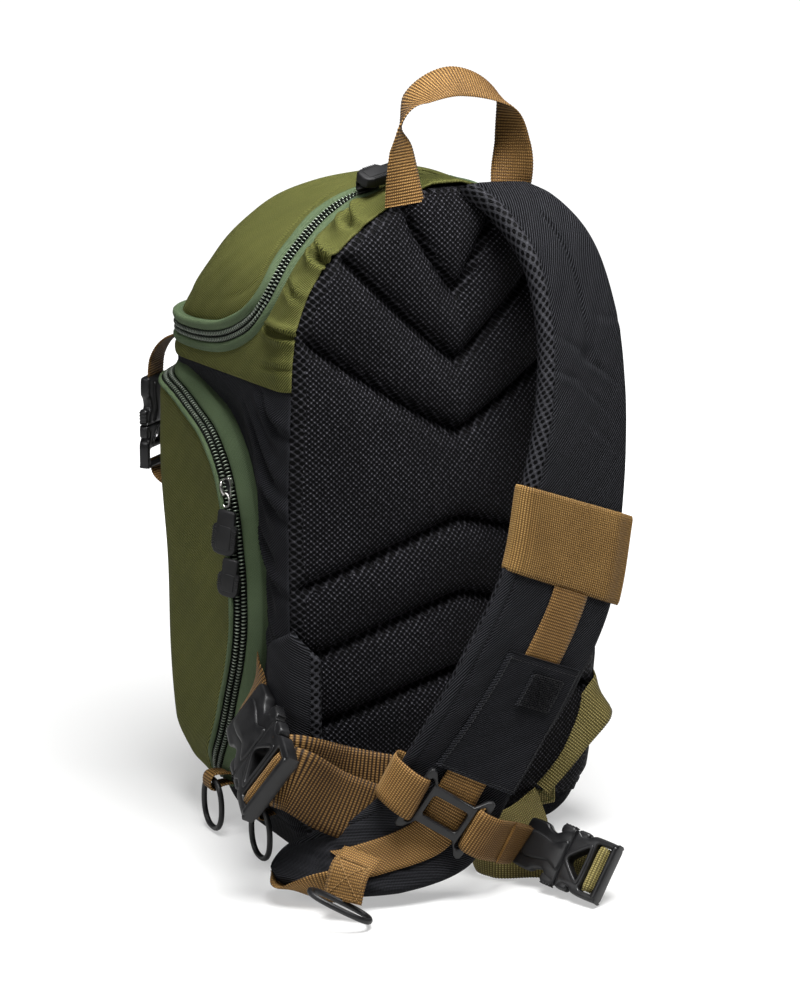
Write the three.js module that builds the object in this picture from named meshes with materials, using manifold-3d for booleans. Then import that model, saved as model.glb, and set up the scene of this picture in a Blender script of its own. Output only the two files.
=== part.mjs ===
// Fishing rucksack with one padded shoulder strap, standing on its base.
// Millimetres, +Z up, harness side towards -Y, origin at the middle of the base on the floor.
import * as THREE from 'three';
import { mergeVertices } from 'three/addons/utils/BufferGeometryUtils.js';
import Module from 'manifold-3d';

const wasm = await Module();
wasm.setup();

// Driving dimensions
const GAP = 0.3;
const WALL = 2;
const BACK_Y = -75;
const PANEL_THICK = 11;
const PANEL_FOOT_Z = 22;
const BASE_TOP_Z = 30;
const LID_TAPE = 8.5;
const POCKET_TAPE = { inner: 5, outer: 15 };
const COIL_HALF = 3.5;
const COIL_HEIGHT = 2.4;
const FLARE_IN = 9;
const FLARE_OUT = 5;
const FLARE_REACH = 50;
const HINGE_HALF = 26;
const FRONT_STRIP = 5;
const STRAP_THICK = 13;
const STRAP_STEPS = 22;
const WEB_THICK = 1.7;
const WEB_NARROW = 25;
const WEB_WIDE = 38;
const BAND_THICK = 1.8;
const BAND_SLACK = 6;
const POCKET_SLEEVE = 4;
const PADDED = 3;
const RING_WIRE = 3.6;
const FAR = 300;

// Body sections from the floor to the crown
const BODY = [
  { z: 0, half: 84, back: -64, front: 46, rBack: 24, rFront: 30 },
  { z: 6, half: 90, back: -70, front: 52, rBack: 18, rFront: 32 },
  { z: 14, half: 95, back: -73, front: 57, rBack: 14, rFront: 32 },
  { z: 28, half: 101, back: BACK_Y, front: 62, rBack: 12, rFront: 34 },
  { z: 36, half: 106, back: BACK_Y, front: 103, rBack: 12, rFront: 38 },
  { z: 60, half: 109, back: BACK_Y, front: 111, rBack: 12, rFront: 38 },
  { z: 110, half: 110, back: BACK_Y, front: 113, rBack: 12, rFront: 38 },
  { z: 165, half: 110, back: BACK_Y, front: 114, rBack: 12, rFront: 38 },
  { z: 235, half: 110, back: BACK_Y, front: 120, rBack: 12, rFront: 38 },
  { z: 262, half: 109, back: BACK_Y, front: 118, rBack: 12, rFront: 38 },
  { z: 286, half: 108, back: BACK_Y, front: 112, rBack: 12, rFront: 38 },
  { z: 311, half: 107, back: BACK_Y, front: 111, rBack: 12, rFront: 42 },
  { z: 334, half: 104, back: BACK_Y, front: 104, rBack: 12, rFront: 57 },
  { z: 354, half: 97, back: BACK_Y, front: 94, rBack: 12, rFront: 60 },
  { z: 368, half: 88, back: BACK_Y, front: 86, rBack: 12, rFront: 55 },
  { z: 382, half: 74, back: BACK_Y, front: 75, rBack: 12, rFront: 48 },
  { z: 392, half: 61, back: BACK_Y, front: 64, rBack: 11, rFront: 40 },
  { z: 403, half: 43, back: BACK_Y, front: 40, rBack: 10, rFront: 30 },
  { z: 410, half: 26, back: BACK_Y, front: 12, rBack: 8, rFront: 20 },
  { z: 415, half: 11, back: BACK_Y, front: -14, rBack: 5, rFront: 9 },
];

// Seams seen from the side
const LID_SEAM = [
  { y: -36, z: 440 },
  { y: -34, z: 411 },
  { y: -31, z: 398 },
  { y: -36, z: 376 },
  { y: -38, z: 354 },
  { y: -26, z: 335 },
  { y: 6, z: 320 },
  { y: 46, z: 313 },
  { y: 90, z: 312 },
  { y: 160, z: 312 },
];
const POCKET_SEAM = [
  { y: 160, z: 282 },
  { y: 84, z: 276 },
  { y: 46, z: 265 },
  { y: 18, z: 253 },
  { y: -3, z: 232 },
  { y: -14, z: 200 },
  { y: -20, z: 162 },
  { y: -17, z: 130 },
  { y: -6, z: 100 },
  { y: 10, z: 66 },
  { y: 29, z: 38 },
  { y: 44, z: 10 },
];
const BAND_SEAM = [
  { y: -160, z: 304 },
  { y: -75, z: 300 },
  { y: 160, z: 290 },
];

// Back panel: swell of the padding over its height
const PANEL_SWELL = [
  { z: 22, swell: 4 },
  { z: 60, swell: 14 },
  { z: 120, swell: 22 },
  { z: 190, swell: 21 },
  { z: 260, swell: 16 },
  { z: 320, swell: 12 },
  { z: 380, swell: 8 },
  { z: 414, swell: 2 },
];
// Chevron grooves: height at the middle and at the edge, and how far out they reach
const GROOVES = [
  { mid: 353, edge: 404, reach: 19 },
  { mid: 312, edge: 386, reach: 65 },
  { mid: 269, edge: 340, reach: 95 },
  { mid: 216, edge: 176, reach: 98 },
  { mid: 170, edge: 134, reach: 92 },
  { mid: 124, edge: 90, reach: 90 },
];
const GROOVE_DEEP = 5;

// Shoulder strap stations: middle of its thickness, direction across, width
const STRAP = [
  { x: 28, y: -81, z: 411, ax: 1, ay: 0, az: -0.05, width: 46 },
  { x: 41, y: -91, z: 401, ax: 1, ay: 0.08, az: 0.08, width: 46 },
  { x: 53, y: -112, z: 376, ax: 0.97, ay: 0.12, az: 0.2, width: 50 },
  { x: 57, y: -128, z: 338, ax: 0.98, ay: 0.11, az: 0.14, width: 56 },
  { x: 55, y: -138, z: 303, ax: 0.99, ay: 0.1, az: -0.06, width: 61 },
  { x: 50, y: -145, z: 268, ax: 0.95, ay: 0.09, az: -0.28, width: 68 },
  { x: 42, y: -150, z: 232, ax: 0.93, ay: 0.05, az: -0.36, width: 74 },
  { x: 30, y: -154, z: 183, ax: 0.92, ay: 0.03, az: -0.39, width: 80 },
  { x: 6, y: -155, z: 138, ax: 0.92, ay: -0.02, az: -0.38, width: 80 },
  { x: -14, y: -153, z: 106, ax: 0.91, ay: -0.1, az: -0.4, width: 74 },
  { x: -31, y: -148, z: 77, ax: 0.86, ay: -0.26, az: -0.44, width: 69 },
  { x: -50, y: -138, z: 40, ax: 0.69, ay: -0.4, az: -0.61, width: 69 },
  { x: -88, y: -127, z: 24, ax: 0.55, ay: -0.66, az: -0.52, width: 62 },
  { x: -127, y: -99, z: 16.5, ax: -0.4, ay: -0.86, az: -0.32, width: 34 },
];

// Grab handle stations
const HANDLE = [
  { x: -31, y: -77.3, z: 405, ax: 1, ay: 0, az: 0.12, width: 26 },
  { x: -32, y: -77.6, z: 420, ax: 0.96, ay: 0.25, az: 0.06, width: 25 },
  { x: -33, y: -76, z: 440, ax: 0.5, ay: 0.85, az: -0.1, width: 25 },
  { x: -25, y: -74, z: 462, ax: 0.4, ay: 0.8, az: 0.3, width: 25 },
  { x: 6, y: -73, z: 475, ax: 0.25, ay: 0.75, az: 0.55, width: 25 },
  { x: 36, y: -74, z: 463, ax: 0, ay: 0.85, az: 0.35, width: 25 },
  { x: 43, y: -75, z: 438, ax: -0.45, ay: 0.85, az: 0.1, width: 25 },
  { x: 41, y: -77, z: 406, ax: -1, ay: 0.05, az: 0, width: 25 },
];

// Webbing across the strap: how far to its side and how high over the middle of its padding
const CROSS = [
  { side: -24, lift: -8.2 },
  { side: -38, lift: -5 },
  { side: -39, lift: 5 },
  { side: -28, lift: 10.2 },
  { side: 0, lift: 10.7 },
  { side: 28, lift: 10.5 },
];
// Its free run to the right buckle
const CROSS_RUN = [
  { x: -5, y: -158, z: 32, ax: 0.3, ay: -0.15, az: 0.9, width: 27 },
  { x: 13, y: -146, z: 23, ax: 0.6, ay: -0.1, az: 0.78, width: 26 },
];
// Loose webbing stations
const LEFT_FRONT = [
  { x: -137, y: -109, z: 82, ax: 0.4, ay: -0.3, az: 0.85, width: 38 },
  { x: -124, y: -117, z: 78, ax: 0.45, ay: 0, az: 0.89, width: 38 },
  { x: -100, y: -118, z: 61, ax: 0.45, ay: 0.03, az: 0.89, width: 38 },
  { x: -66, y: -126, z: 45, ax: 0.4, ay: 0.05, az: 0.9, width: 38 },
];
const LEFT_REAR = [
  { x: -136, y: -106, z: 85, ax: 0.4, ay: -0.3, az: 0.85, width: 38 },
  { x: -120, y: -111, z: 84, ax: 0.42, ay: 0, az: 0.9, width: 38 },
  { x: -90, y: -109, z: 73, ax: 0.35, ay: 0, az: 0.93, width: 36 },
  { x: -58, y: -127, z: 69, ax: 0.4, ay: -0.1, az: 0.9, width: 30 },
];
const LEFT_ANCHOR = [
  { x: -100, y: -29, z: 120, ax: 0.2, ay: 0.2, az: 0.95, width: 36 },
  { x: -112, y: -38, z: 113, ax: 0.3, ay: -0.2, az: 0.92, width: 37 },
  { x: -122, y: -50, z: 104, ax: 0.4, ay: -0.42, az: 0.82, width: 38 },
];
const RIGHT_OLIVE = [
  { x: 64, y: -87, z: 20, ax: -0.2, ay: 0.2, az: 0.95, width: 25 },
  { x: 40, y: -97, z: 15, ax: -0.3, ay: 0.3, az: 0.9, width: 25 },
  { x: 12, y: -107, z: 14, ax: -0.3, ay: 0.3, az: 0.9, width: 25 },
  { x: -8, y: -119, z: 13.5, ax: -0.3, ay: 0.3, az: 0.9, width: 25 },
  { x: -2, y: -135, z: 13.5, ax: -0.3, ay: 0.3, az: 0.9, width: 25 },
  { x: 22, y: -148, z: 13.5, ax: -0.2, ay: 0.2, az: 0.93, width: 25 },
  { x: 38, y: -166, z: 14, ax: 0.3, ay: 0.1, az: 0.9, width: 25 },
  { x: 43, y: -191, z: 15, ax: 0.55, ay: -0.1, az: 0.82, width: 25 },
];
const SIDE_LOOP = [
  { x: 70, y: -84.5, z: 34, ax: -0.75, ay: 0, az: 0.6, width: 25 },
  { x: 87, y: -83, z: 58, ax: -0.78, ay: 0, az: 0.6, width: 25 },
  { x: 107, y: -78, z: 79, ax: -0.7, ay: 0.1, az: 0.68, width: 25 },
  { x: 115, y: -62, z: 92, ax: -0.4, ay: 0.4, az: 0.8, width: 25 },
  { x: 106, y: -40, z: 100, ax: -0.1, ay: 0.4, az: 0.9, width: 25 },
];
const FRONT_STRAP = [
  { x: -82, y: 96, z: 304, ax: -0.8, ay: -0.6, az: 0, width: 20 },
  { x: -95, y: 117, z: 297, ax: -0.8, ay: -0.6, az: 0, width: 20 },
  { x: -100, y: 127, z: 284, ax: -0.8, ay: -0.6, az: 0, width: 20 },
  { x: -101, y: 130, z: 266, ax: -0.8, ay: -0.6, az: 0, width: 20 },
];
const FRONT_ANCHOR = [
  { x: -101, y: 130, z: 216, ax: -0.8, ay: -0.6, az: 0, width: 20 },
  { x: -99, y: 126, z: 206, ax: -0.8, ay: -0.6, az: 0, width: 20 },
  { x: -88, y: 106, z: 196, ax: -0.8, ay: -0.6, az: 0, width: 20 },
];
const WING = [
  { x: -106, y: -52, z: 106, ax: 0, ay: 0, az: 1, width: 56 },
  { x: -112, y: -66, z: 106, ax: 0, ay: 0, az: 1, width: 84 },
  { x: -109, y: -84, z: 106, ax: 0, ay: 0, az: 1, width: 104 },
  { x: -95, y: -93, z: 106, ax: 0, ay: 0, az: 1, width: 70 },
];
const END_WRAP = [
  { x: -123, y: -89, z: 18, ax: -0.2, ay: 0.2, az: 0.95, width: 12 },
  { x: -133, y: -102, z: 13, ax: -0.2, ay: 0.2, az: 0.95, width: 14 },
  { x: -135, y: -117, z: 10.5, ax: -0.2, ay: 0.1, az: 0.95, width: 18 },
  { x: -104, y: -142, z: 12, ax: -0.1, ay: 0, az: 0.97, width: 22 },
];
const RING_TAB = [
  { x: -92, y: -141, z: 35, ax: 0.47, ay: -0.87, az: -0.18, width: 26 },
  { x: -104, y: -147, z: 28, ax: 0.47, ay: -0.87, az: -0.18, width: 26 },
  { x: -111, y: -151, z: 12, ax: 0.47, ay: -0.87, az: -0.18, width: 26 },
];

const COLOURS = {
  black: { color: 0x16171a, roughness: 0.85, metalness: 0 },
  olive: { color: 0x4a4f22, roughness: 0.85, metalness: 0 },
  green: { color: 0x3c5733, roughness: 0.8, metalness: 0 },
  tan: { color: 0x7d5c30, roughness: 0.75, metalness: 0 },
  drab: { color: 0x6e6834, roughness: 0.75, metalness: 0 },
  plastic: { color: 0x1a1b1e, roughness: 0.4, metalness: 0 },
  metal: { color: 0x9a9a98, roughness: 0.35, metalness: 1 },
};

const vec = (x, y, z) => new THREE.Vector3(x, y, z);

// Closed geometry to solid and back
function toSolid(geometry) {
  const bare = geometry.clone();
  bare.deleteAttribute('normal');
  bare.deleteAttribute('uv');
  const merged = mergeVertices(bare, 1e-4);
  const vertProperties = new Float32Array(merged.attributes.position.array);
  const triVerts = new Uint32Array(merged.index.array);
  return new wasm.Manifold(new wasm.Mesh({ numProp: 3, vertProperties, triVerts }));
}

function toGeometry(solid) {
  const mesh = solid.getMesh();
  const geometry = new THREE.BufferGeometry();
  geometry.setAttribute('position', new THREE.BufferAttribute(new Float32Array(mesh.vertProperties), 3));
  geometry.setIndex(new THREE.BufferAttribute(new Uint32Array(mesh.triVerts), 1));
  return geometry;
}

// The largest body of a solid that a cut left in several
function mainBody(solid) {
  return solid.decompose().reduce((best, body) => (body.volume() > best.volume() ? body : best));
}

// Skin through rings of equal count, closed at both ends
function loft(rings) {
  const count = rings[0].length;
  const positions = [];
  rings.flat().forEach((p) => positions.push(p.x, p.y, p.z));
  const index = [];
  for (let r = 0; r + 1 < rings.length; r += 1) {
    for (let k = 0; k < count; k += 1) {
      const a = r * count + k;
      const b = r * count + ((k + 1) % count);
      index.push(a, b, b + count, a, b + count, a + count);
    }
  }
  const ends = [
    { ring: 0, flip: true },
    { ring: rings.length - 1, flip: false },
  ];
  ends.forEach(({ ring, flip }) => {
    const centre = rings[ring].reduce((sum, p) => sum.add(p), vec(0, 0, 0)).divideScalar(count);
    const hub = positions.length / 3;
    positions.push(centre.x, centre.y, centre.z);
    for (let k = 0; k < count; k += 1) {
      const a = ring * count + k;
      const b = ring * count + ((k + 1) % count);
      index.push(...(flip ? [b, a, hub] : [a, b, hub]));
    }
  });
  const geometry = new THREE.BufferGeometry();
  geometry.setAttribute('position', new THREE.Float32BufferAttribute(positions, 3));
  geometry.setIndex(index);
  const solid = toSolid(geometry);
  if (solid.volume() > 0) {
    return solid;
  }
  for (let t = 0; t < index.length; t += 3) {
    [index[t], index[t + 1]] = [index[t + 1], index[t]];
  }
  geometry.setIndex(index);
  return toSolid(geometry);
}

// Value of one table column at a height, straight between rows
function column(rows, key, value, name) {
  const last = rows.length - 1;
  if (value <= rows[0][key]) {
    return rows[0][name];
  }
  if (value >= rows[last][key]) {
    return rows[last][name];
  }
  const i = rows.findIndex((row) => row[key] > value) - 1;
  const share = (value - rows[i][key]) / (rows[i + 1][key] - rows[i][key]);
  return THREE.MathUtils.lerp(rows[i][name], rows[i + 1][name], share);
}

// Smooth side-view curve through a seam table
function seamCurve(rows, steps) {
  const spline = new THREE.SplineCurve(rows.map((row) => new THREE.Vector2(row.y, row.z)));
  return spline.getPoints(steps);
}

function offsetCurve(points, distance) {
  return points.map((p, i) => {
    const before = points[Math.max(i - 1, 0)];
    const after = points[Math.min(i + 1, points.length - 1)];
    const along = after.clone().sub(before).normalize();
    return new THREE.Vector2(p.x - along.y * distance, p.y + along.x * distance);
  });
}

// Side-view outline swept across the whole width of the bag
function sweepX(outline, halfWidth = FAR) {
  const shape = new THREE.Shape(outline.map((p) => new THREE.Vector2(p.x, p.y)));
  const geometry = new THREE.ExtrudeGeometry(shape, { depth: halfWidth * 2, bevelEnabled: false });
  geometry.translate(0, 0, -halfWidth);
  geometry.applyMatrix4(new THREE.Matrix4().makeBasis(vec(0, 1, 0), vec(0, 0, 1), vec(1, 0, 0)));
  return toSolid(geometry);
}

function block(x0, x1, y0, y1, z0, z1) {
  const geometry = new THREE.BoxGeometry(x1 - x0, y1 - y0, z1 - z0);
  geometry.translate((x0 + x1) / 2, (y0 + y1) / 2, (z0 + z1) / 2);
  return toSolid(geometry);
}

const grownBlock = ({ x0, x1, y0, y1, z0, z1 }, grow) => (
  block(x0 - grow, x1 + grow, y0 - grow, y1 + grow, z0 - grow, z1 + grow)
);

// Body envelope
const SEAM_STEPS = 17;
const lidCurve = seamCurve(LID_SEAM, SEAM_STEPS);
const pocketCurve = seamCurve(POCKET_SEAM, SEAM_STEPS);

// Distance from the pocket seam in side view, positive inside the pocket
function pocketDistance(y, z) {
  const point = new THREE.Vector2(y, z);
  let best = Infinity;
  let side = 1;
  for (let i = 0; i + 1 < pocketCurve.length; i += 1) {
    const a = pocketCurve[i];
    const edge = pocketCurve[i + 1].clone().sub(a);
    const rel = point.clone().sub(a);
    const t = THREE.MathUtils.clamp(rel.dot(edge) / edge.lengthSq(), 0, 1);
    const away = rel.clone().addScaledVector(edge, -t).length();
    if (away < best) {
      best = away;
      side = Math.sign(edge.cross(rel)) || 1;
    }
  }
  return best * side;
}

// How far the side stands out: drawn in behind the pocket zip, swollen in front of it
function flare(y, z) {
  const d = pocketDistance(y, z);
  const fadeLow = THREE.MathUtils.smoothstep(z, BASE_TOP_Z, BASE_TOP_Z + 30);
  const fadeHigh = 1 - THREE.MathUtils.smoothstep(z, 270, 300);
  let out = FLARE_OUT;
  const { inner, outer: outside } = POCKET_TAPE;
  if (d < -outside) {
    out = -FLARE_IN * (1 - THREE.MathUtils.smoothstep(-d, outside, FLARE_REACH));
  } else if (d < inner) {
    out = THREE.MathUtils.lerp(-FLARE_IN, FLARE_OUT, (d + outside) / (inner + outside));
  }
  return out * fadeLow * fadeHigh;
}

const CORNER_STEPS = 3;
const SIDE_STEPS = 6;

// One body section as a ring of points, drawn in by an inset
function bodyRing(row, inset, dropZ) {
  const half = Math.max(row.half - inset, 1);
  const back = row.back + inset;
  const front = Math.max(row.front - inset, back + 2);
  const rBack = Math.max(Math.min(row.rBack - inset, half - 0.5), 0.5);
  const rFront = Math.max(Math.min(row.rFront - inset, half - 0.5, front - back - rBack - 0.5), 0.5);
  const z = row.z - dropZ;
  const right = [];
  for (let k = 0; k <= CORNER_STEPS; k += 1) {
    const t = (k / CORNER_STEPS) * (Math.PI / 2);
    right.push(vec(half - rBack + rBack * Math.sin(t), back + rBack - rBack * Math.cos(t), z));
  }
  const y0 = back + rBack;
  const y1 = front - rFront;
  for (let k = 1; k < SIDE_STEPS; k += 1) {
    right.push(vec(half, THREE.MathUtils.lerp(y0, y1, k / SIDE_STEPS), z));
  }
  for (let k = 0; k <= CORNER_STEPS; k += 1) {
    const t = (k / CORNER_STEPS) * (Math.PI / 2);
    right.push(vec(half - rFront + rFront * Math.cos(t), front - rFront + rFront * Math.sin(t), z));
  }
  right.forEach((p) => {
    const sideShare = THREE.MathUtils.clamp((p.x - half + rFront) / rFront, 0, 1);
    p.x += flare(p.y, row.z) * sideShare;
  });
  const left = right.slice().reverse().map((p) => vec(-p.x, p.y, p.z));
  return [...right, ...left];
}

// Whole body outline, grown or drawn in along the slope of its profile
function envelope(inset) {
  return loft(BODY.map((row, i) => {
    const low = BODY[Math.max(i - 1, 0)];
    const high = BODY[Math.min(i + 1, BODY.length - 1)];
    const slope = Math.atan2(low.half - high.half, high.z - low.z);
    const first = i === 0;
    const last = i === BODY.length - 1;
    const level = first || last ? Math.sign(i - 1) : Math.sin(slope);
    return bodyRing(row, inset * (first || last ? 1 : Math.cos(slope)), inset * level);
  }));
}

const outer = envelope(0);
const shell = outer.subtract(envelope(WALL));

// Regions of the shell in side view
const lidRegion = (offset) => sweepX([
  ...offsetCurve(lidCurve, offset),
  new THREE.Vector2(FAR, 440),
]);
const pocketRegion = (offset) => sweepX([
  ...offsetCurve(pocketCurve, offset),
  new THREE.Vector2(FAR, 0),
]);
const bandAbove = (lift) => sweepX([
  ...BAND_SEAM.map((row) => new THREE.Vector2(row.y, row.z + lift)),
  new THREE.Vector2(160, 500),
  new THREE.Vector2(-160, 500),
]);
// The pocket with its zip, below the black strip that crosses the front
const pocketZone = (offset, drop) => pocketRegion(offset).subtract(bandAbove(-drop));
const behindPanel = block(-FAR, FAR, BACK_Y + PANEL_THICK + GAP, FAR, PANEL_FOOT_Z - GAP, 500);
const aboveBase = block(-FAR, FAR, -FAR, FAR, BASE_TOP_Z, 500);
const hingeBlock = (half) => block(-half, half, -FAR, 20, 380, 500);

const shellOpen = shell.intersect(behindPanel);
const lidInner = lidRegion(LID_TAPE);
const lidOuter = lidRegion(-LID_TAPE);
const pocketInner = pocketRegion(POCKET_TAPE.inner);

const lidSolid = mainBody(shellOpen.intersect(lidRegion(LID_TAPE + GAP)));
const lidTape = mainBody(shellOpen.intersect(lidOuter).subtract(lidInner).subtract(hingeBlock(HINGE_HALF)));
const hingePatch = hingeBlock(HINGE_HALF - GAP).subtract(lidInner);
const bandZone = bandAbove(GAP).subtract(lidRegion(-LID_TAPE - GAP)).add(hingePatch);
const bandSolid = mainBody(shellOpen.intersect(bandZone));
const upperShell = shellOpen.intersect(aboveBase);
const pocketSolid = mainBody(upperShell.intersect(pocketRegion(POCKET_TAPE.inner + GAP)));
const tapeZone = pocketZone(-POCKET_TAPE.outer, FRONT_STRIP);
const pocketTape = mainBody(upperShell.intersect(tapeZone).subtract(pocketInner));
const sideZone = pocketZone(-POCKET_TAPE.outer - GAP, FRONT_STRIP - GAP);
const sideSolid = mainBody(upperShell.subtract(bandAbove(0)).subtract(sideZone));
const baseBack = block(-FAR, FAR, -FAR, FAR, -1, PANEL_FOOT_Z - GAP);
const baseFront = block(-FAR, FAR, BACK_Y + PANEL_THICK + GAP, FAR, -1, BASE_TOP_Z - GAP);
const baseSolid = mainBody(shell.intersect(baseBack.add(baseFront)));

// Zip coils stand on their tapes
const coilSkin = envelope(-COIL_HEIGHT).subtract(envelope(-GAP));
const lidStrip = lidRegion(-COIL_HALF).subtract(lidRegion(COIL_HALF));
const lidCoilRun = coilSkin.intersect(behindPanel).intersect(lidStrip);
const lidCoil = mainBody(lidCoilRun.subtract(hingeBlock(HINGE_HALF)));
const pocketStrip = pocketRegion(-COIL_HALF).subtract(pocketRegion(COIL_HALF));
const pocketCoil = mainBody(coilSkin.intersect(aboveBase).intersect(pocketStrip));

// Padded back panel with chevron grooves
const PANEL_COLUMNS = 8;
function panelHalf(z) {
  return column(BODY, 'z', z, 'half') - 1;
}
function panelFace(x, z, lift) {
  const share = THREE.MathUtils.clamp(Math.abs(x) / panelHalf(z), 0, 1);
  return BACK_Y - lift - column(PANEL_SWELL, 'z', z, 'swell') * (1 - share ** 2) ** 0.8;
}
function panelSolid(grow) {
  const levels = BODY.map((row) => row.z).filter((z) => z > PANEL_FOOT_Z && z < 414);
  const heights = [PANEL_FOOT_Z - grow, ...levels, 413 + grow];
  return loft(heights.map((z) => {
    const half = panelHalf(z) + grow;
    const face = [];
    const inside = [];
    for (let k = 0; k <= PANEL_COLUMNS; k += 1) {
      const x = THREE.MathUtils.lerp(-half, half, k / PANEL_COLUMNS);
      face.push(vec(x, panelFace(x, z, grow), z));
      inside.push(vec(-x, BACK_Y + PANEL_THICK, z));
    }
    return [...face, ...inside];
  }));
}
function grooveCut({ mid, edge, reach }) {
  const stations = 4;
  const rings = [];
  for (let k = -stations; k <= stations; k += 1) {
    const share = Math.abs(k) / stations;
    const x = (k / stations) * (reach + 14);
    const z = THREE.MathUtils.lerp(mid, edge, share ** 1.15);
    const y = panelFace(x, z, 0);
    rings.push([
      vec(x, y - GROOVE_DEEP, z),
      vec(x, y, z - GROOVE_DEEP),
      vec(x, y + GROOVE_DEEP, z),
      vec(x, y, z + GROOVE_DEEP),
    ]);
  }
  return loft(rings);
}
const grooved = GROOVES.reduce((solid, groove) => solid.subtract(grooveCut(groove)), panelSolid(0));
const backPanel = mainBody(grooved);
const panelGuard = panelSolid(GAP);

// Strip of cloth through a table of stations
function frameAt(rows, t, slanted = false) {
  const spot = THREE.MathUtils.clamp(t, 0, 1) * (rows.length - 1);
  const low = Math.min(Math.floor(spot), rows.length - 2);
  const path = new THREE.CatmullRomCurve3(rows.map((row) => vec(row.x, row.y, row.z)));
  const across = new THREE.CatmullRomCurve3(rows.map((row) => vec(row.ax, row.ay, row.az)));
  const tangent = path.getTangent(t);
  const side = across.getPoint(t);
  side.addScaledVector(tangent, slanted ? 0 : -side.dot(tangent)).normalize();
  const normal = tangent.clone().cross(side).normalize();
  const width = THREE.MathUtils.lerp(rows[low].width, rows[low + 1].width, spot - low);
  return { centre: path.getPoint(t), tangent, side, normal, width };
}

function frames(rows, steps, from = 0, to = 1, slanted = false) {
  const list = [];
  for (let k = 0; k <= steps; k += 1) {
    list.push(frameAt(rows, THREE.MathUtils.lerp(from, to, k / steps), slanted));
  }
  return list;
}

// Flat section, with its corners taken off where it is padded
function stripRing({ centre, side, normal, width }, thick, grow, shift = 0, lift = 0) {
  const w = width / 2 + grow;
  const h = thick / 2 + grow;
  const bevel = Math.min(h * 0.7, 4);
  const corners = thick < PADDED ? [[-w, h], [w, h], [w, -h], [-w, -h]] : [
    [-w, h - bevel], [bevel - w, h], [w - bevel, h], [w, h - bevel],
    [w, bevel - h], [w - bevel, -h], [bevel - w, -h], [-w, bevel - h],
  ];
  return corners.map(([a, n]) => (
    centre.clone().addScaledVector(side, a + shift).addScaledVector(normal, n + lift)
  ));
}

function strip(rows, thick, steps, grow = 0) {
  return loft(frames(rows, steps).map((frame) => stripRing(frame, thick, grow)));
}

const cutAll = (solid, tools) => mainBody(tools.reduce((rest, tool) => rest.subtract(tool), solid));

// Oriented placing: along, across, and out of the face
function place(geometry, origin, along, across) {
  const u = along.clone().normalize();
  const v = across.clone().addScaledVector(u, -across.dot(u)).normalize();
  const matrix = new THREE.Matrix4().makeBasis(u, v, u.clone().cross(v));
  matrix.setPosition(origin);
  return toSolid(geometry.clone().applyMatrix4(matrix));
}

function plate(outline, holes, thick) {
  const shape = new THREE.Shape(outline.map(([u, v]) => new THREE.Vector2(u, v)));
  holes.forEach((hole) => shape.holes.push(new THREE.Path(hole.map(([u, v]) => new THREE.Vector2(u, v)))));
  const geometry = new THREE.ExtrudeGeometry(shape, { depth: thick, bevelEnabled: false });
  geometry.translate(0, 0, -thick / 2);
  return geometry;
}

function rectangle(u0, u1, v, corner) {
  return [
    [u0, corner - v], [u0 + corner, -v], [u1 - corner, -v], [u1, corner - v],
    [u1, v - corner], [u1 - corner, v], [u0 + corner, v], [u0, v - corner],
  ];
}

// Guards: neighbours grown by the gap that pieces keep
const bodyGuard = envelope(-GAP);
const coilGuard = envelope(-COIL_HEIGHT - GAP);

// Shoulder strap and what is sewn on it
const strapPart = (from, to, steps, grow) => loft(
  frames(STRAP, steps, from, to, true).map((frame) => stripRing(frame, STRAP_THICK, grow)),
);
const strapGuard = strapPart(0, 1, STRAP_STEPS, GAP);
const strapSolid = cutAll(strapPart(0, 1, STRAP_STEPS, 0), [panelGuard, bodyGuard]);

// Layer on the outer face of the strap
function strapLayer({ from, to, shift, width, thick, lift }) {
  const stops = [from];
  for (let k = Math.ceil(from * STRAP_STEPS + 0.05); k < to * STRAP_STEPS - 0.05; k += 1) {
    stops.push(k / STRAP_STEPS);
  }
  stops.push(to);
  return loft(stops.map((t) => (
    stripRing({ ...frameAt(STRAP, t, true), width }, thick, 0, shift, STRAP_THICK / 2 + lift + thick / 2)
  )));
}

const BAND = { from: 0.455, to: 0.535 };
const SLEEVE = { from: 0.6, to: 0.765, shift: 7, width: 52 };
const bandPart = (reach, grow) => loft(
  frames(STRAP, 3, BAND.from - reach, BAND.to + reach, true).map((frame) => (
    stripRing({ ...frame, width: frame.width + BAND_SLACK }, STRAP_THICK, grow, BAND_SLACK / 2)
  )),
);
const bandOuter = bandPart(0, GAP * 2 + BAND_THICK);
const bandInner = bandPart(0.03, GAP * 2);
const bandGuard = bandPart(0.004, GAP * 3 + BAND_THICK);
const elasticBand = cutAll(bandOuter, [bandInner]);
const sleeveSolid = cutAll(strapLayer({ ...SLEEVE, thick: POCKET_SLEEVE, lift: GAP }), [strapGuard]);
const sleeveGuard = strapLayer({
  ...SLEEVE,
  thick: POCKET_SLEEVE + GAP * 2,
  lift: 0,
  width: SLEEVE.width + GAP * 2,
});
const webOnStrap = { shift: 5, width: WEB_NARROW, thick: WEB_THICK, lift: GAP };
const upperWeb = cutAll(
  strapLayer({ ...webOnStrap, from: 0.53, to: 0.62 }),
  [strapGuard, bandGuard, sleeveGuard],
);
const hookPatch = cutAll(
  strapLayer({ from: 0.612, to: 0.655, shift: 13, width: 24, thick: 1.4, lift: POCKET_SLEEVE + GAP * 2 }),
  [sleeveGuard],
);
const LOWER_LIFT = 1;
const lowerLayer = { from: 0.76, to: 0.93, shift: 2, width: 26 };
const lowerWeb = cutAll(
  strapLayer({ ...lowerLayer, thick: WEB_THICK, lift: LOWER_LIFT }),
  [strapGuard, sleeveGuard],
);
const lowerGuard = strapLayer({
  ...lowerLayer,
  thick: WEB_THICK + GAP * 2,
  lift: LOWER_LIFT - GAP,
  width: lowerLayer.width + GAP * 2,
});

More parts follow.
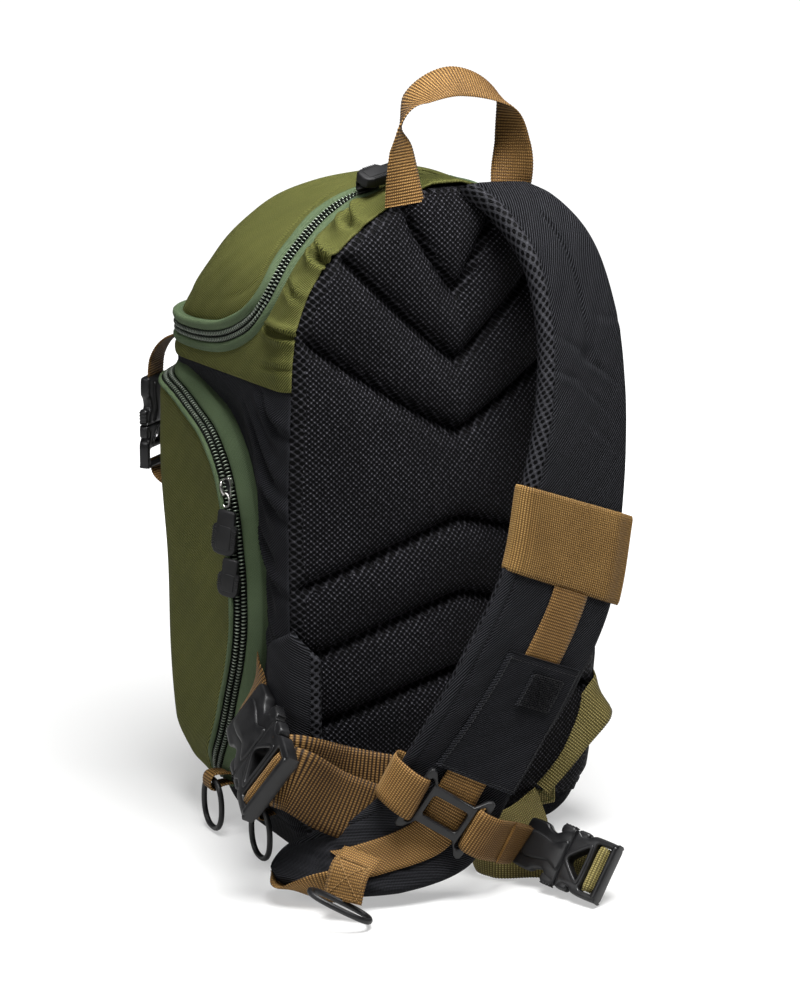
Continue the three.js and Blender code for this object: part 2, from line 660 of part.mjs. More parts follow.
// Ladder frame over the crossing of the webbings
const SLIDE = { at: 0.808, shift: 0, along: 40, across: 46, thick: 3.6, window: 11, bar: 4 };
const slideFrame = frameAt(STRAP, SLIDE.at, true);
const slideLift = STRAP_THICK / 2 + LOWER_LIFT + WEB_THICK * 2 + GAP * 2 + SLIDE.thick / 2 + 0.6;
const slideCentre = slideFrame.centre.clone()
  .addScaledVector(slideFrame.normal, slideLift)
  .addScaledVector(slideFrame.side, SLIDE.shift);
function slidePlate(grow) {
  const edge = SLIDE.across / 2;
  const v = SLIDE.along / 2;
  const slot = v - SLIDE.bar;
  const holes = grow > 0 ? [] : [
    rectangle(-SLIDE.window, SLIDE.window, slot, 2),
    rectangle(SLIDE.bar - edge, -SLIDE.window - SLIDE.bar, slot, 1.5),
    rectangle(SLIDE.window + SLIDE.bar, edge - SLIDE.bar, slot, 1.5),
  ];
  return plate(rectangle(-edge - grow, edge + grow, v + grow, 2), holes, SLIDE.thick + grow * 2);
}
const slideAxes = [slideCentre, slideFrame.side, slideFrame.tangent.clone().negate()];
const slideSolid = place(slidePlate(0), ...slideAxes);
const slideGuard = place(slidePlate(GAP), ...slideAxes);

// Side-release buckles, sized by their webbing
const SOCKET_EDGE = [
  { u: -0.5, v: 0.36 },
  { u: -0.46, v: 0.41 },
  { u: -0.3, v: 0.42 },
  { u: -0.24, v: 0.34 },
  { u: -0.16, v: 0.33 },
  { u: -0.08, v: 0.46 },
  { u: 0.02, v: 0.5 },
];
const PLUG_EDGE = [
  { u: 0.02, v: 0.5 },
  { u: 0.1, v: 0.44 },
  { u: 0.18, v: 0.45 },
  { u: 0.26, v: 0.5 },
  { u: 0.47, v: 0.5 },
  { u: 0.5, v: 0.46 },
];
const WINDOW_EDGE = [
  { u: 0.06, v: 0.05 },
  { u: 0.22, v: 0.27 },
  { u: 0.235, v: 0.24 },
];
const LADDER = { u0: 0.29, u1: 0.43, v: 0.4 };
const buckleSize = (webbing) => ({
  length: webbing * 1.05 + 38,
  across: webbing + 12,
  thick: 7 + webbing * 0.12,
});

function mirrored(rows, size, shiftU = 0) {
  const low = rows.map(({ u, v }) => [u * size.length + shiftU, -v * size.across]);
  const top = low.slice().reverse().map(([u, v]) => [u, -v]);
  return [...low, ...top];
}

function buckle(webbing, centre, along, across) {
  const size = buckleSize(webbing);
  const ladder = rectangle(LADDER.u0 * size.length, LADDER.u1 * size.length, LADDER.v * size.across, 1.5);
  const socket = place(plate(mirrored(SOCKET_EDGE, size), [], size.thick), centre, along, across);
  const plugOutline = mirrored(PLUG_EDGE, size, GAP);
  const plugPlate = plate(plugOutline, [mirrored(WINDOW_EDGE, size), ladder], size.thick * 0.8);
  const plug = place(plugPlate, centre, along, across);
  const guardBox = new THREE.BoxGeometry(
    size.length + GAP * 2,
    size.across + GAP * 2,
    size.thick + GAP * 2,
  );
  const guard = place(guardBox, centre, along, across);
  const u0 = LADDER.u0 * size.length + GAP;
  const u1 = LADDER.u1 * size.length - GAP;
  const foldPlate = plate(rectangle(u0, u1, LADDER.v * size.across - GAP, 1.4), [], size.thick * 0.5);
  const fold = place(foldPlate, centre, along, across);
  return { socket, plug, guard, fold };
}

const leftBuckle = buckle(WEB_WIDE, vec(-133, -87, 90), vec(-0.25, -0.9, -0.35), vec(0.4, -0.42, 0.82));
const rightBuckle = buckle(WEB_NARROW, vec(28, -173, 21), vec(0.37, -0.92, -0.1), vec(0.63, -0.1, 0.76));
const frontBuckle = buckle(20, vec(-101, 130.5, 241), vec(0, 0, -1), vec(-0.8, -0.6, 0));

// Loose webbing, cut clear of what it meets
const handleSolid = cutAll(strip(HANDLE, WEB_THICK, 16), [panelGuard, bodyGuard, strapGuard]);
const crossRows = [
  ...CROSS.map(({ side, lift }) => {
    const spot = slideFrame.centre.clone()
      .addScaledVector(slideFrame.side, side)
      .addScaledVector(slideFrame.normal, lift);
    const up = slideFrame.tangent.clone().negate();
    return { x: spot.x, y: spot.y, z: spot.z, ax: up.x, ay: up.y, az: up.z, width: 28 };
  }),
  ...CROSS_RUN,
];
const crossWeb = cutAll(
  strip(crossRows, WEB_THICK, 18),
  [strapGuard, lowerGuard, slideGuard, rightBuckle.guard, sleeveGuard],
);
const crossGuard = strip(crossRows, WEB_THICK, 18, GAP);
const leftFront = cutAll(strip(LEFT_FRONT, WEB_THICK, 8), [strapGuard, leftBuckle.guard, crossGuard]);
const leftRear = cutAll(
  strip(LEFT_REAR, WEB_THICK, 8),
  [strapGuard, leftBuckle.guard, crossGuard, strip(LEFT_FRONT, WEB_THICK, 8, GAP)],
);
const wingSolid = cutAll(strip(WING, 8, 8), [bodyGuard, panelGuard, leftBuckle.guard]);
const wingGuard = strip(WING, 8, 8, GAP);
const leftAnchor = cutAll(strip(LEFT_ANCHOR, WEB_THICK, 5), [coilGuard, wingGuard, leftBuckle.guard]);
const SIDE_TAB = { x0: 52, x1: 76, y0: -84, y1: -70, z0: 18, z1: 36 };
const sideTab = cutAll(grownBlock(SIDE_TAB, 0), [panelGuard, bodyGuard]);
const tabGuard = grownBlock(SIDE_TAB, GAP);
const sideLoop = cutAll(strip(SIDE_LOOP, WEB_THICK, 12), [panelGuard, bodyGuard, tabGuard]);
const rightWeb = cutAll(
  strip(RIGHT_OLIVE, WEB_THICK, 16),
  [strapGuard, rightBuckle.guard, crossGuard, tabGuard, panelGuard, bodyGuard],
);
const frontStrap = cutAll(strip(FRONT_STRAP, WEB_THICK, 8), [coilGuard, frontBuckle.guard]);
const frontAnchor = cutAll(strip(FRONT_ANCHOR, WEB_THICK, 6), [bodyGuard, frontBuckle.guard]);
const endWrap = cutAll(strip(END_WRAP, WEB_THICK, 8), [strapGuard]);
const wrapGuard = strip(END_WRAP, WEB_THICK, 8, GAP);
const ringTab = cutAll(strip(RING_TAB, WEB_THICK, 6), [strapGuard, lowerGuard, wrapGuard]);

// Rings and their loops
function oval(halfWide, halfTall, wire) {
  const geometry = new THREE.TorusGeometry(1, wire / 2 / halfTall, 6, 14);
  geometry.scale(halfWide, halfTall, halfTall);
  return geometry;
}
const RINGS = [
  { name: 'front', x: -116, y: 18, seatX: -100 },
  { name: 'back', x: -112, y: -43, seatX: -101 },
];
const RING = { wide: 13, tall: 16, loopWide: 12, z: 18.4 };
const ringSolid = ({ x, y }) => place(
  oval(RING.wide, RING.tall, RING_WIRE),
  vec(x, y, RING.z),
  vec(0, 1, 0),
  vec(0, 0, 1),
);
const coilZone = pocketRegion(-COIL_HALF - GAP).subtract(pocketRegion(COIL_HALF + GAP));
const nearCoil = coilZone.intersect(coilGuard);
function ringLoop({ x, y, seatX }) {
  const top = RING.z + RING.tall;
  const reach = 7;
  const outline = [
    [x - 3.4, top - reach], [x + 3.4, top - reach], [seatX + 4, BASE_TOP_Z - 6],
    [seatX + 4, BASE_TOP_Z + 6], [x - 3.4, top + 5],
  ];
  const hole = [
    [x - 2.1, top - reach + 1.8], [x + 2.1, top - reach + 1.8],
    [x + 2.1, top + 2.4], [x - 2.1, top + 2.4],
  ];
  const matrix = new THREE.Matrix4().makeBasis(vec(1, 0, 0), vec(0, 0, 1), vec(0, -1, 0));
  matrix.setPosition(0, y, 0);
  return cutAll(toSolid(plate(outline, [hole], RING.loopWide).applyMatrix4(matrix)), [bodyGuard, nearCoil]);
}
const strapRingAt = (wire) => place(
  oval(20, 10, wire),
  vec(-119, -157, 11),
  vec(0.46, -0.86, -0.22),
  vec(-0.67, -0.45, 0.25),
);
const strapRing = cutAll(strapRingAt(RING_WIRE), [strapGuard, wrapGuard]);
const ringTabCut = cutAll(ringTab, [strapRingAt(RING_WIRE + GAP * 2)]);

// Zip sliders, and pulls that lie on the zips
const LID_SLIDER = { x0: -44, x1: -34, y0: -44, y1: -28, z0: 396, z1: 418.5 };
const POCKET_SLIDER = { x0: -120, x1: -102, y0: -11, y1: -1, z0: 222, z1: 234 };
const PULL_THICK = 4;
const PULL_CORNER = 3;
const pullPlate = (length, width) => (
  plate(rectangle(-length / 2, length / 2, width / 2, PULL_CORNER), [], PULL_THICK)
);
const lidSlider = cutAll(grownBlock(LID_SLIDER, 0), [coilGuard]);
const lidPull = cutAll(
  place(pullPlate(28, 11), vec(-29, -47, 420.5), vec(0.95, 0.2, 0.12), vec(-0.2, 0.95, 0)),
  [grownBlock(LID_SLIDER, GAP), coilGuard],
);
const pullAxes = [vec(0, 0.12, -1), vec(0.52, -0.85, 0)];
const pocketSlider = cutAll(grownBlock(POCKET_SLIDER, 0), [coilGuard]);
const upperPull = cutAll(place(pullPlate(28, 17), vec(-116.5, -13, 203), ...pullAxes), [coilGuard]);
const lowerPull = cutAll(place(pullPlate(24, 15), vec(-116.5, -17, 175.6), ...pullAxes), [coilGuard]);

// The assembly
const rucksack = new THREE.Group();
rucksack.name = 'fishing_rucksack';
function add(name, solid, finish) {
  const mesh = new THREE.Mesh(toGeometry(solid), new THREE.MeshStandardMaterial(COLOURS[finish]));
  mesh.name = name;
  rucksack.add(mesh);
}

add('base', baseSolid, 'black');
add('side_wall', sideSolid, 'black');
add('upper_band', bandSolid, 'olive');
add('lid', lidSolid, 'olive');
add('lid_zip_tape', lidTape, 'green');
add('lid_zip_coil', lidCoil, 'green');
add('lid_slider', lidSlider, 'metal');
add('lid_pull', lidPull, 'plastic');
add('front_pocket', pocketSolid, 'olive');
add('pocket_zip_tape', pocketTape, 'green');
add('pocket_zip_coil', pocketCoil, 'green');
add('pocket_slider', pocketSlider, 'metal');
add('pocket_pull_upper', upperPull, 'plastic');
add('pocket_pull_lower', lowerPull, 'plastic');
add('back_panel', backPanel, 'black');
add('wing_left', wingSolid, 'black');
add('grab_handle', handleSolid, 'tan');
add('shoulder_strap', strapSolid, 'black');
add('elastic_band', elasticBand, 'tan');
add('strap_pocket', sleeveSolid, 'black');
add('hook_patch', hookPatch, 'black');
add('strap_webbing_upper', upperWeb, 'tan');
add('strap_webbing_lower', lowerWeb, 'tan');
add('adjuster_slide', slideSolid, 'plastic');
add('cross_webbing', crossWeb, 'tan');
add('strap_end_wrap', endWrap, 'tan');
add('ring_tab', ringTabCut, 'tan');
add('strap_ring', strapRing, 'plastic');
add('left_anchor', leftAnchor, 'tan');
add('left_buckle_socket', leftBuckle.socket, 'plastic');
add('left_buckle_plug', leftBuckle.plug, 'plastic');
add('left_webbing_fold', leftBuckle.fold, 'tan');
add('left_webbing_front', leftFront, 'tan');
add('left_webbing_rear', leftRear, 'tan');
add('right_buckle_socket', rightBuckle.socket, 'plastic');
add('right_buckle_plug', rightBuckle.plug, 'plastic');
add('right_webbing_fold', rightBuckle.fold, 'drab');
add('right_webbing', rightWeb, 'drab');
add('side_tab', sideTab, 'drab');
add('side_loop', sideLoop, 'drab');
RINGS.forEach((ring) => {
  add(`ring_${ring.name}`, ringSolid(ring), 'plastic');
  add(`ring_loop_${ring.name}`, ringLoop(ring), 'tan');
});
add('front_webbing', frontStrap, 'tan');
add('front_webbing_lower', frontAnchor, 'tan');
add('front_buckle_socket', frontBuckle.socket, 'plastic');
add('front_buckle_plug', frontBuckle.plug, 'plastic');

export default rucksack;
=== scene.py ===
import math

import bmesh
import bpy
import numpy as np
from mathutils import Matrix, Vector, noise


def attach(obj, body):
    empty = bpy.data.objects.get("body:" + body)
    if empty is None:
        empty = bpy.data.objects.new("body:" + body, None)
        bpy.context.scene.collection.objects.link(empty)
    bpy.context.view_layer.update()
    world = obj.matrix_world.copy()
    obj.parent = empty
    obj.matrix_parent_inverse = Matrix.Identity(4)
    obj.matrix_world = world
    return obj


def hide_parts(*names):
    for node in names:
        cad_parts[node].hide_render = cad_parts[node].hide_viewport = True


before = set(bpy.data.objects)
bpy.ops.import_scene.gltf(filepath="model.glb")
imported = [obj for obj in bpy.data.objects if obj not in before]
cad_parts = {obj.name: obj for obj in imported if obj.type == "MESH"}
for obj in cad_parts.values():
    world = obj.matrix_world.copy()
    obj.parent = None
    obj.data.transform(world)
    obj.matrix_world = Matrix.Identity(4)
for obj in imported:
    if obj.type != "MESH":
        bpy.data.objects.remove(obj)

for spare in ("Cube", "Light", "Camera"):
    if spare in bpy.data.objects:
        bpy.data.objects.remove(bpy.data.objects[spare])
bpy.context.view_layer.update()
mm = 0.001  # sizes below are in millimetres
print("frame loaded,", len(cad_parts), "nodes")


# shader building blocks
def startMaterial(name, base, roughness, specular=0.3, sheen=0.0, metallic=0.0):
    material = bpy.data.materials.new(name)
    material.use_nodes = True
    tree = material.node_tree
    shader = tree.nodes["Principled BSDF"]
    shader.inputs["Base Color"].default_value = (*base, 1)
    shader.inputs["Roughness"].default_value = roughness
    shader.inputs["Specular IOR Level"].default_value = specular
    shader.inputs["Sheen Weight"].default_value = sheen
    shader.inputs["Sheen Roughness"].default_value = 0.45
    shader.inputs["Metallic"].default_value = metallic
    material.diffuse_color = (*base, 1)
    return material, tree, shader


def feed(tree, socket, value):
    if isinstance(value, (int, float)):
        socket.default_value = value
    elif isinstance(value, tuple):
        socket.default_value = value if len(value) == len(socket.default_value) else (*value, 1)
    else:
        tree.links.new(value, socket)


def calc(tree, operation, first, second=None):
    made = tree.nodes.new("ShaderNodeMath")
    made.operation = operation
    feed(tree, made.inputs[0], first)
    if second is not None:
        feed(tree, made.inputs[1], second)
    return made.outputs[0]


def weighted(tree, first, firstShare, second, secondShare):
    return calc(tree, "ADD", calc(tree, "MULTIPLY", first, firstShare), calc(tree, "MULTIPLY", second, secondShare))


def mapRange(tree, value, low, high, toLow=0.0, toHigh=1.0):
    made = tree.nodes.new("ShaderNodeMapRange")
    made.interpolation_type = "SMOOTHSTEP"
    for socket, number in zip(made.inputs, (value, low, high, toLow, toHigh)):
        feed(tree, socket, number)
    return made.outputs[0]


def mixColour(tree, factor, first, second):
    made = tree.nodes.new("ShaderNodeMix")
    made.data_type = "RGBA"
    feed(tree, made.inputs[0], factor)
    feed(tree, made.inputs[6], first)
    feed(tree, made.inputs[7], second)
    return made.outputs[2]


def grain(tree, scale, detail, vector=None):
    made = tree.nodes.new("ShaderNodeTexNoise")
    made.inputs["Scale"].default_value = scale
    made.inputs["Detail"].default_value = detail
    if vector is None:
        vector = tree.nodes.new("ShaderNodeTexCoord").outputs["Object"]
    tree.links.new(vector, made.inputs["Vector"])
    return made.outputs["Fac"]


def bump(tree, shader, height, strength, distance):
    made = tree.nodes.new("ShaderNodeBump")
    made.inputs["Strength"].default_value = strength
    made.inputs["Distance"].default_value = distance
    tree.links.new(height, made.inputs["Height"])
    before = shader.inputs["Normal"].links
    if before:
        tree.links.new(before[0].from_socket, made.inputs["Normal"])
    tree.links.new(made.outputs["Normal"], shader.inputs["Normal"])


# weave coordinates in millimetres, from the pieces' own metric map
def weaveAxes(tree, turn=0.0, stretch=1.0):
    place = tree.nodes.new("ShaderNodeUVMap")
    place.uv_map = "weave"
    mapping = tree.nodes.new("ShaderNodeMapping")
    mapping.inputs["Scale"].default_value = (1000, 1000 * stretch, 1000)
    mapping.inputs["Rotation"].default_value = (0, 0, turn)
    tree.links.new(place.outputs["UV"], mapping.inputs["Vector"])
    split = tree.nodes.new("ShaderNodeSeparateXYZ")
    tree.links.new(mapping.outputs[0], split.inputs[0])
    return split.outputs[0], split.outputs[1], mapping.outputs[0]


def wave(tree, value, pitch):
    return calc(tree, "SINE", calc(tree, "MULTIPLY", value, 2 * math.pi / pitch))


def rimValue(tree):
    made = tree.nodes.new("ShaderNodeAttribute")
    made.attribute_name = "rim"
    return made.outputs["Fac"]


# woven cloth: threads with painted shade in their gaps and a painted highlight on their crests, slubs, cloudy tone,
# and paler rubbed edges where rim is high
def wovenCloth(name, look):
    material, tree, shader = startMaterial(name, look["base"], look["rough"], look["specular"])
    across, along, place = weaveAxes(tree, look.get("turn", 0.0))
    threads = calc(tree, "MULTIPLY", wave(tree, across, look["pitch"]), wave(tree, along, look["pitch"]))
    if look.get("twill"):
        ridge = wave(tree, calc(tree, "ADD", across, along), look["pitch"] * 1.9)
        threads = weighted(tree, threads, 0.45, ridge, 0.8)
    tone = grain(tree, 28, 3)
    fleck = grain(tree, 1.3, 2, place)
    shade = weighted(tree, tone, 0.6, fleck, 0.4)
    colour = mixColour(tree, mapRange(tree, shade, 0.3, 0.7), look["dark"], look["light"])
    # painted shade: the gaps between threads take the deep colour
    colour = mixColour(tree, mapRange(tree, threads, -1.0, -0.1, look["thread"], 0), colour, look["deep"])
    # painted highlight: the thread crests take the top colour
    colour = mixColour(tree, mapRange(tree, threads, 0.2, 1.0, 0, look["thread"]), colour, look["top"])
    colour = mixColour(tree, calc(tree, "MULTIPLY", rimValue(tree), 0.35), colour, look["top"])
    tree.links.new(colour, shader.inputs["Base Color"])
    worn = mapRange(tree, fleck, 0.2, 0.8, look["rough"] - 0.06, look["rough"] + 0.08)
    tree.links.new(worn, shader.inputs["Roughness"])
    bump(tree, shader, threads, look["bump"], 0.00025)
    bump(tree, shader, grain(tree, 90, 3), 0.12, 0.001)
    return material


# knitted spacer mesh: staggered holes between raised knots, with painted shade in the holes and a painted highlight
# on the knots; rim opens the holes
def spacerMesh(name, look):
    material, tree, shader = startMaterial(name, look["base"], 0.6, 0.07, 0.0)
    across, _, place = weaveAxes(tree, math.pi / 4, look["stretch"])
    cells = tree.nodes.new("ShaderNodeTexVoronoi")
    cells.feature = "F1"
    cells.inputs["Randomness"].default_value = 0.12
    cells.inputs["Scale"].default_value = 1 / look["cell"]
    tree.links.new(place, cells.inputs["Vector"])
    away = cells.outputs["Distance"]
    reach = calc(tree, "ADD", calc(tree, "MULTIPLY", rimValue(tree), 0.14), look["hole"])
    hole = mapRange(tree, calc(tree, "SUBTRACT", away, reach), -0.05, 0.08)
    yarn = wave(tree, across, look["cell"] / 3)
    fleck = grain(tree, 0.9, 2, place)
    lit = mixColour(tree, mapRange(tree, fleck, 0.35, 0.7), look["base"], look["top"])
    knotGlint = mapRange(tree, away, 0.5, 0.72)
    # painted highlight: the knots take a bright glint colour
    lit = mixColour(tree, calc(tree, "MULTIPLY", knotGlint, 0.8), lit, look["knotGlint"])
    tone = grain(tree, 22, 2)
    # painted shade: the holes take the deep colour
    colour = mixColour(tree, hole, look["deep"], lit)
    colour = mixColour(tree, mapRange(tree, tone, 0.3, 0.75, 0, 0.35), colour, look["deep"])
    tree.links.new(colour, shader.inputs["Base Color"])
    relief = calc(tree, "ADD", hole, calc(tree, "MULTIPLY", yarn, 0.08))
    # the same knot mask is also raised as relief
    relief = calc(tree, "ADD", relief, calc(tree, "MULTIPLY", knotGlint, 0.5))
    bump(tree, shader, relief, look["bump"], 0.0011)
    return material


# flat webbing: cross ribs are in the mesh, this adds yarns, slubs and a worn tone, with painted shade in the furrows
# and between the yarns and a painted glint where yarn and rib crests meet
def webbingCloth(name, look):
    material, tree, shader = startMaterial(name, look["base"], 0.62, 0.18, 0.05)
    along, across, place = weaveAxes(tree)
    yarn = wave(tree, across, look["yarn"])
    rib = wave(tree, along, look["rib"])
    fleck = grain(tree, 1.6, 3, place)
    tone = grain(tree, 40, 2)
    shade = weighted(tree, tone, 0.5, fleck, 0.5)
    colour = mixColour(tree, mapRange(tree, shade, 0.32, 0.68), look["dark"], look["light"])
    # painted shade: the furrows between ribs and the gaps between yarns take the deep colour
    colour = mixColour(tree, mapRange(tree, rib, -1, 0.3, look.get("furrowShade", 0.75), 0), colour, look["deep"])
    colour = mixColour(tree, mapRange(tree, yarn, -1, -0.4, 0.5, 0), colour, look["deep"])
    # painted highlight: a glint of the top colour where yarn and rib crests meet
    glint = calc(tree, "MULTIPLY", mapRange(tree, yarn, 0, 1), mapRange(tree, rib, 0, 1))
    colour = mixColour(tree, calc(tree, "MULTIPLY", glint, 0.7), colour, look["top"])
    tree.links.new(colour, shader.inputs["Base Color"])
    weave = weighted(tree, yarn, 0.5, rib, 0.5)
    bump(tree, shader, weave, 0.5, 0.0003)
    bump(tree, shader, fleck, 0.25, 0.0003)
    return material


def mouldedPlastic(name, look):
    material, tree, shader = startMaterial(name, look["base"], look["rough"], look["specular"])
    pebble = grain(tree, 900, 2)
    smear = grain(tree, 60, 4)
    colour = mixColour(tree, mapRange(tree, smear, 0.35, 0.75), look["base"], look["light"])
    tree.links.new(colour, shader.inputs["Base Color"])
    worn = mapRange(tree, smear, 0.3, 0.7, look["rough"] - 0.08, look["rough"] + 0.1)
    tree.links.new(worn, shader.inputs["Roughness"])
    bump(tree, shader, pebble, 0.12, 0.0002)
    bump(tree, shader, smear, 0.06, 0.0006)
    return material


def castMetal(name, look):
    material, tree, shader = startMaterial(name, look["base"], look["rough"], 0.5, 0.0, 1.0)
    smear = grain(tree, 240, 4)
    colour = mixColour(tree, mapRange(tree, smear, 0.3, 0.7), look["dark"], look["base"])
    tree.links.new(colour, shader.inputs["Base Color"])
    worn = mapRange(tree, smear, 0.3, 0.7, look["rough"] - 0.08, look["rough"] + 0.12)
    tree.links.new(worn, shader.inputs["Roughness"])
    bump(tree, shader, smear, 0.1, 0.0003)
    return material


# how each finish is made, the slot it fills and its look
# deep is painted shade in thread gaps, furrows and mesh holes; on cloth and webbing, top is a painted highlight on
# the crests
looks = {
    "oliveCloth": (wovenCloth, "olive_cloth", {
        "base": (0.064, 0.070, 0.012), "dark": (0.050, 0.056, 0.009), "light": (0.078, 0.084, 0.016),
        "deep": (0.007, 0.008, 0.001), "top": (0.190, 0.188, 0.060), "thread": 0.9, "rough": 0.85,
        "specular": 0.15, "pitch": 0.98, "twill": True, "bump": 0.8}),
    "blackCloth": (wovenCloth, "black_cloth", {
        "base": (0.0050, 0.0052, 0.0063), "dark": (0.0040, 0.0042, 0.0052), "light": (0.0074, 0.0076, 0.0090),
        "deep": (0.0008, 0.0008, 0.0011), "top": (0.040, 0.0410, 0.0470), "thread": 0.8, "rough": 0.72,
        "specular": 0.06, "pitch": 0.98, "twill": True, "bump": 0.8}),
    "strapTwill": (wovenCloth, "black_cloth", {
        "base": (0.0046, 0.0048, 0.0056), "dark": (0.0034, 0.0036, 0.0043), "light": (0.0062, 0.0064, 0.0075),
        "deep": (0.0002, 0.0002, 0.0004), "top": (0.046, 0.047, 0.054), "thread": 1.0, "rough": 0.72,
        "specular": 0.07, "pitch": 0.98, "twill": True, "turn": 0.25, "bump": 0.9}),
    "airMesh": (spacerMesh, "air_mesh", {
        "base": (0.0046, 0.0045, 0.0058), "top": (0.0125, 0.0122, 0.0150), "knotGlint": (0.190, 0.186, 0.212),
        "deep": (0.0003, 0.0003, 0.0005), "cell": 2.3, "hole": 0.33, "stretch": 1.0, "bump": 1.0}),
    "borderMesh": (spacerMesh, "air_mesh", {
        "base": (0.0135, 0.0132, 0.0155), "top": (0.026, 0.0255, 0.0295), "knotGlint": (0.075, 0.0740, 0.085),
        "deep": (0.0002, 0.0002, 0.0004), "cell": 3.2, "hole": 0.40, "stretch": 1.0, "bump": 1.0}),
    "edgeMesh": (spacerMesh, "air_mesh", {
        "base": (0.022, 0.022, 0.0255), "top": (0.036, 0.036, 0.041), "knotGlint": (0.055, 0.055, 0.062),
        "deep": (0.0002, 0.0002, 0.0004), "cell": 3.4, "hole": 0.34, "stretch": 0.8, "bump": 0.5}),
    "zipTape": (wovenCloth, "zip_tape", {
        "base": (0.062, 0.096, 0.045), "dark": (0.048, 0.076, 0.034), "light": (0.080, 0.118, 0.058),
        "deep": (0.014, 0.024, 0.010), "top": (0.200, 0.245, 0.150), "thread": 0.6, "rough": 0.7,
        "specular": 0.2, "pitch": 0.9, "bump": 0.6}),
    # painted shade: a near-black copy of the tape, laid under the coil where the teeth shade it
    "zipBed": (wovenCloth, "zip_tape", {
        "base": (0.0016, 0.0022, 0.0014), "dark": (0.0012, 0.0016, 0.0010), "light": (0.0022, 0.0030, 0.0020),
        "deep": (0.0005, 0.0007, 0.0004), "top": (0.005, 0.007, 0.0045), "thread": 0.4, "rough": 0.8,
        "specular": 0.1, "pitch": 0.8, "bump": 0.4}),
    "zipCoil": (mouldedPlastic, "zip_coil", {
        "base": (0.020, 0.028, 0.018), "light": (0.036, 0.046, 0.032), "rough": 0.35, "specular": 0.6}),
    # painted highlight: bright plastic standing for the glint on the crowns of the teeth
    "zipCrown": (mouldedPlastic, "zip_coil", {
        "base": (0.200, 0.245, 0.185), "light": (0.320, 0.370, 0.290), "rough": 0.3, "specular": 0.7}),
    "tanWebbing": (webbingCloth, "tan_webbing", {
        "base": (0.205, 0.104, 0.026), "dark": (0.165, 0.081, 0.019), "light": (0.260, 0.137, 0.037),
        "deep": (0.020, 0.008, 0.0015), "top": (0.54, 0.345, 0.135), "yarn": 1.3, "rib": 1.75}),
    # painted shade: a darker copy of the tan webbing, with coarser ribs and deeper furrows
    "wideWebbing": (webbingCloth, "tan_webbing", {
        "base": (0.120, 0.060, 0.015), "dark": (0.095, 0.046, 0.011), "light": (0.155, 0.080, 0.021),
        "deep": (0.008, 0.003, 0.0006), "top": (0.34, 0.205, 0.075), "yarn": 1.5, "rib": 2.4, "furrowShade": 1.0}),
    "tanElastic": (webbingCloth, "tan_webbing", {
        "base": (0.220, 0.119, 0.030), "dark": (0.185, 0.097, 0.023), "light": (0.265, 0.148, 0.040),
        "deep": (0.040, 0.019, 0.004), "top": (0.50, 0.33, 0.125), "yarn": 1.3, "rib": 1.5}),
    "oliveWebbing": (webbingCloth, "olive_webbing", {
        "base": (0.195, 0.158, 0.046), "dark": (0.155, 0.124, 0.034), "light": (0.245, 0.200, 0.064),
        "deep": (0.028, 0.022, 0.005), "top": (0.46, 0.40, 0.17), "yarn": 1.3, "rib": 1.75}),
    "blackPlastic": (mouldedPlastic, "black_plastic", {
        "base": (0.0065, 0.0065, 0.0072), "light": (0.013, 0.013, 0.014), "rough": 0.38, "specular": 0.4}),
    "pullRubber": (mouldedPlastic, "pull_rubber", {
        "base": (0.0065, 0.0065, 0.007), "light": (0.012, 0.012, 0.013), "rough": 0.5, "specular": 0.3}),
    "darkMetal": (castMetal, "slider_metal", {
        "base": (0.045, 0.045, 0.045), "dark": (0.020, 0.020, 0.020), "rough": 0.4}),
    "hookPile": (mouldedPlastic, "black_cloth", {
        "base": (0.0030, 0.0030, 0.0034), "light": (0.014, 0.014, 0.015), "rough": 0.6, "specular": 0.25}),
    "sliderMetal": (castMetal, "slider_metal", {
        "base": (0.62, 0.61, 0.58), "dark": (0.40, 0.39, 0.37), "rough": 0.3}),
    "tanThread": (mouldedPlastic, "tan_webbing", {
        "base": (0.20, 0.11, 0.036), "light": (0.30, 0.18, 0.07), "rough": 0.7, "specular": 0.25}),
    "blackThread": (mouldedPlastic, "black_cloth", {
        "base": (0.006, 0.006, 0.0068), "light": (0.015, 0.015, 0.0165), "rough": 0.65, "specular": 0.3}),
    "oliveThread": (mouldedPlastic, "olive_webbing", {
        "base": (0.075, 0.080, 0.020), "light": (0.12, 0.125, 0.04), "rough": 0.7, "specular": 0.25}),
}
finishes = {name: maker(name, look) for name, (maker, _, look) in looks.items()}
print("materials ready,", len(finishes))


# mesh building blocks; points are in millimetres
def makePiece(name, points, faces, materials, node=None, uv=None, rim=None, faceMaterial=None):
    mesh = bpy.data.meshes.new(name)
    points = np.asarray(points, float)
    mesh.from_pydata((points * mm).tolist(), [], [list(map(int, face)) for face in faces])
    for material in materials:
        mesh.materials.append(finishes[material])
    if uv is not None:
        layer = mesh.uv_layers.new(name="weave")
        corner = np.zeros(len(mesh.loops), int)
        mesh.loops.foreach_get("vertex_index", corner)
        layer.data.foreach_set("uv", (np.asarray(uv, float)[corner] * mm).ravel())
    edge = mesh.attributes.new("rim", "FLOAT", "POINT")
    edge.data.foreach_set("value", np.zeros(len(points)) if rim is None else np.asarray(rim, float))
    if faceMaterial is not None:
        mesh.polygons.foreach_set("material_index", np.asarray(faceMaterial, np.int32))
    mesh.polygons.foreach_set("use_smooth", np.ones(len(mesh.polygons), bool))
    mesh.validate()
    mesh.update()
    piece = bpy.data.objects.new(name, mesh)
    bpy.context.scene.collection.objects.link(piece)
    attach(piece, "root")
    if node:
        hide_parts(node)
    return piece


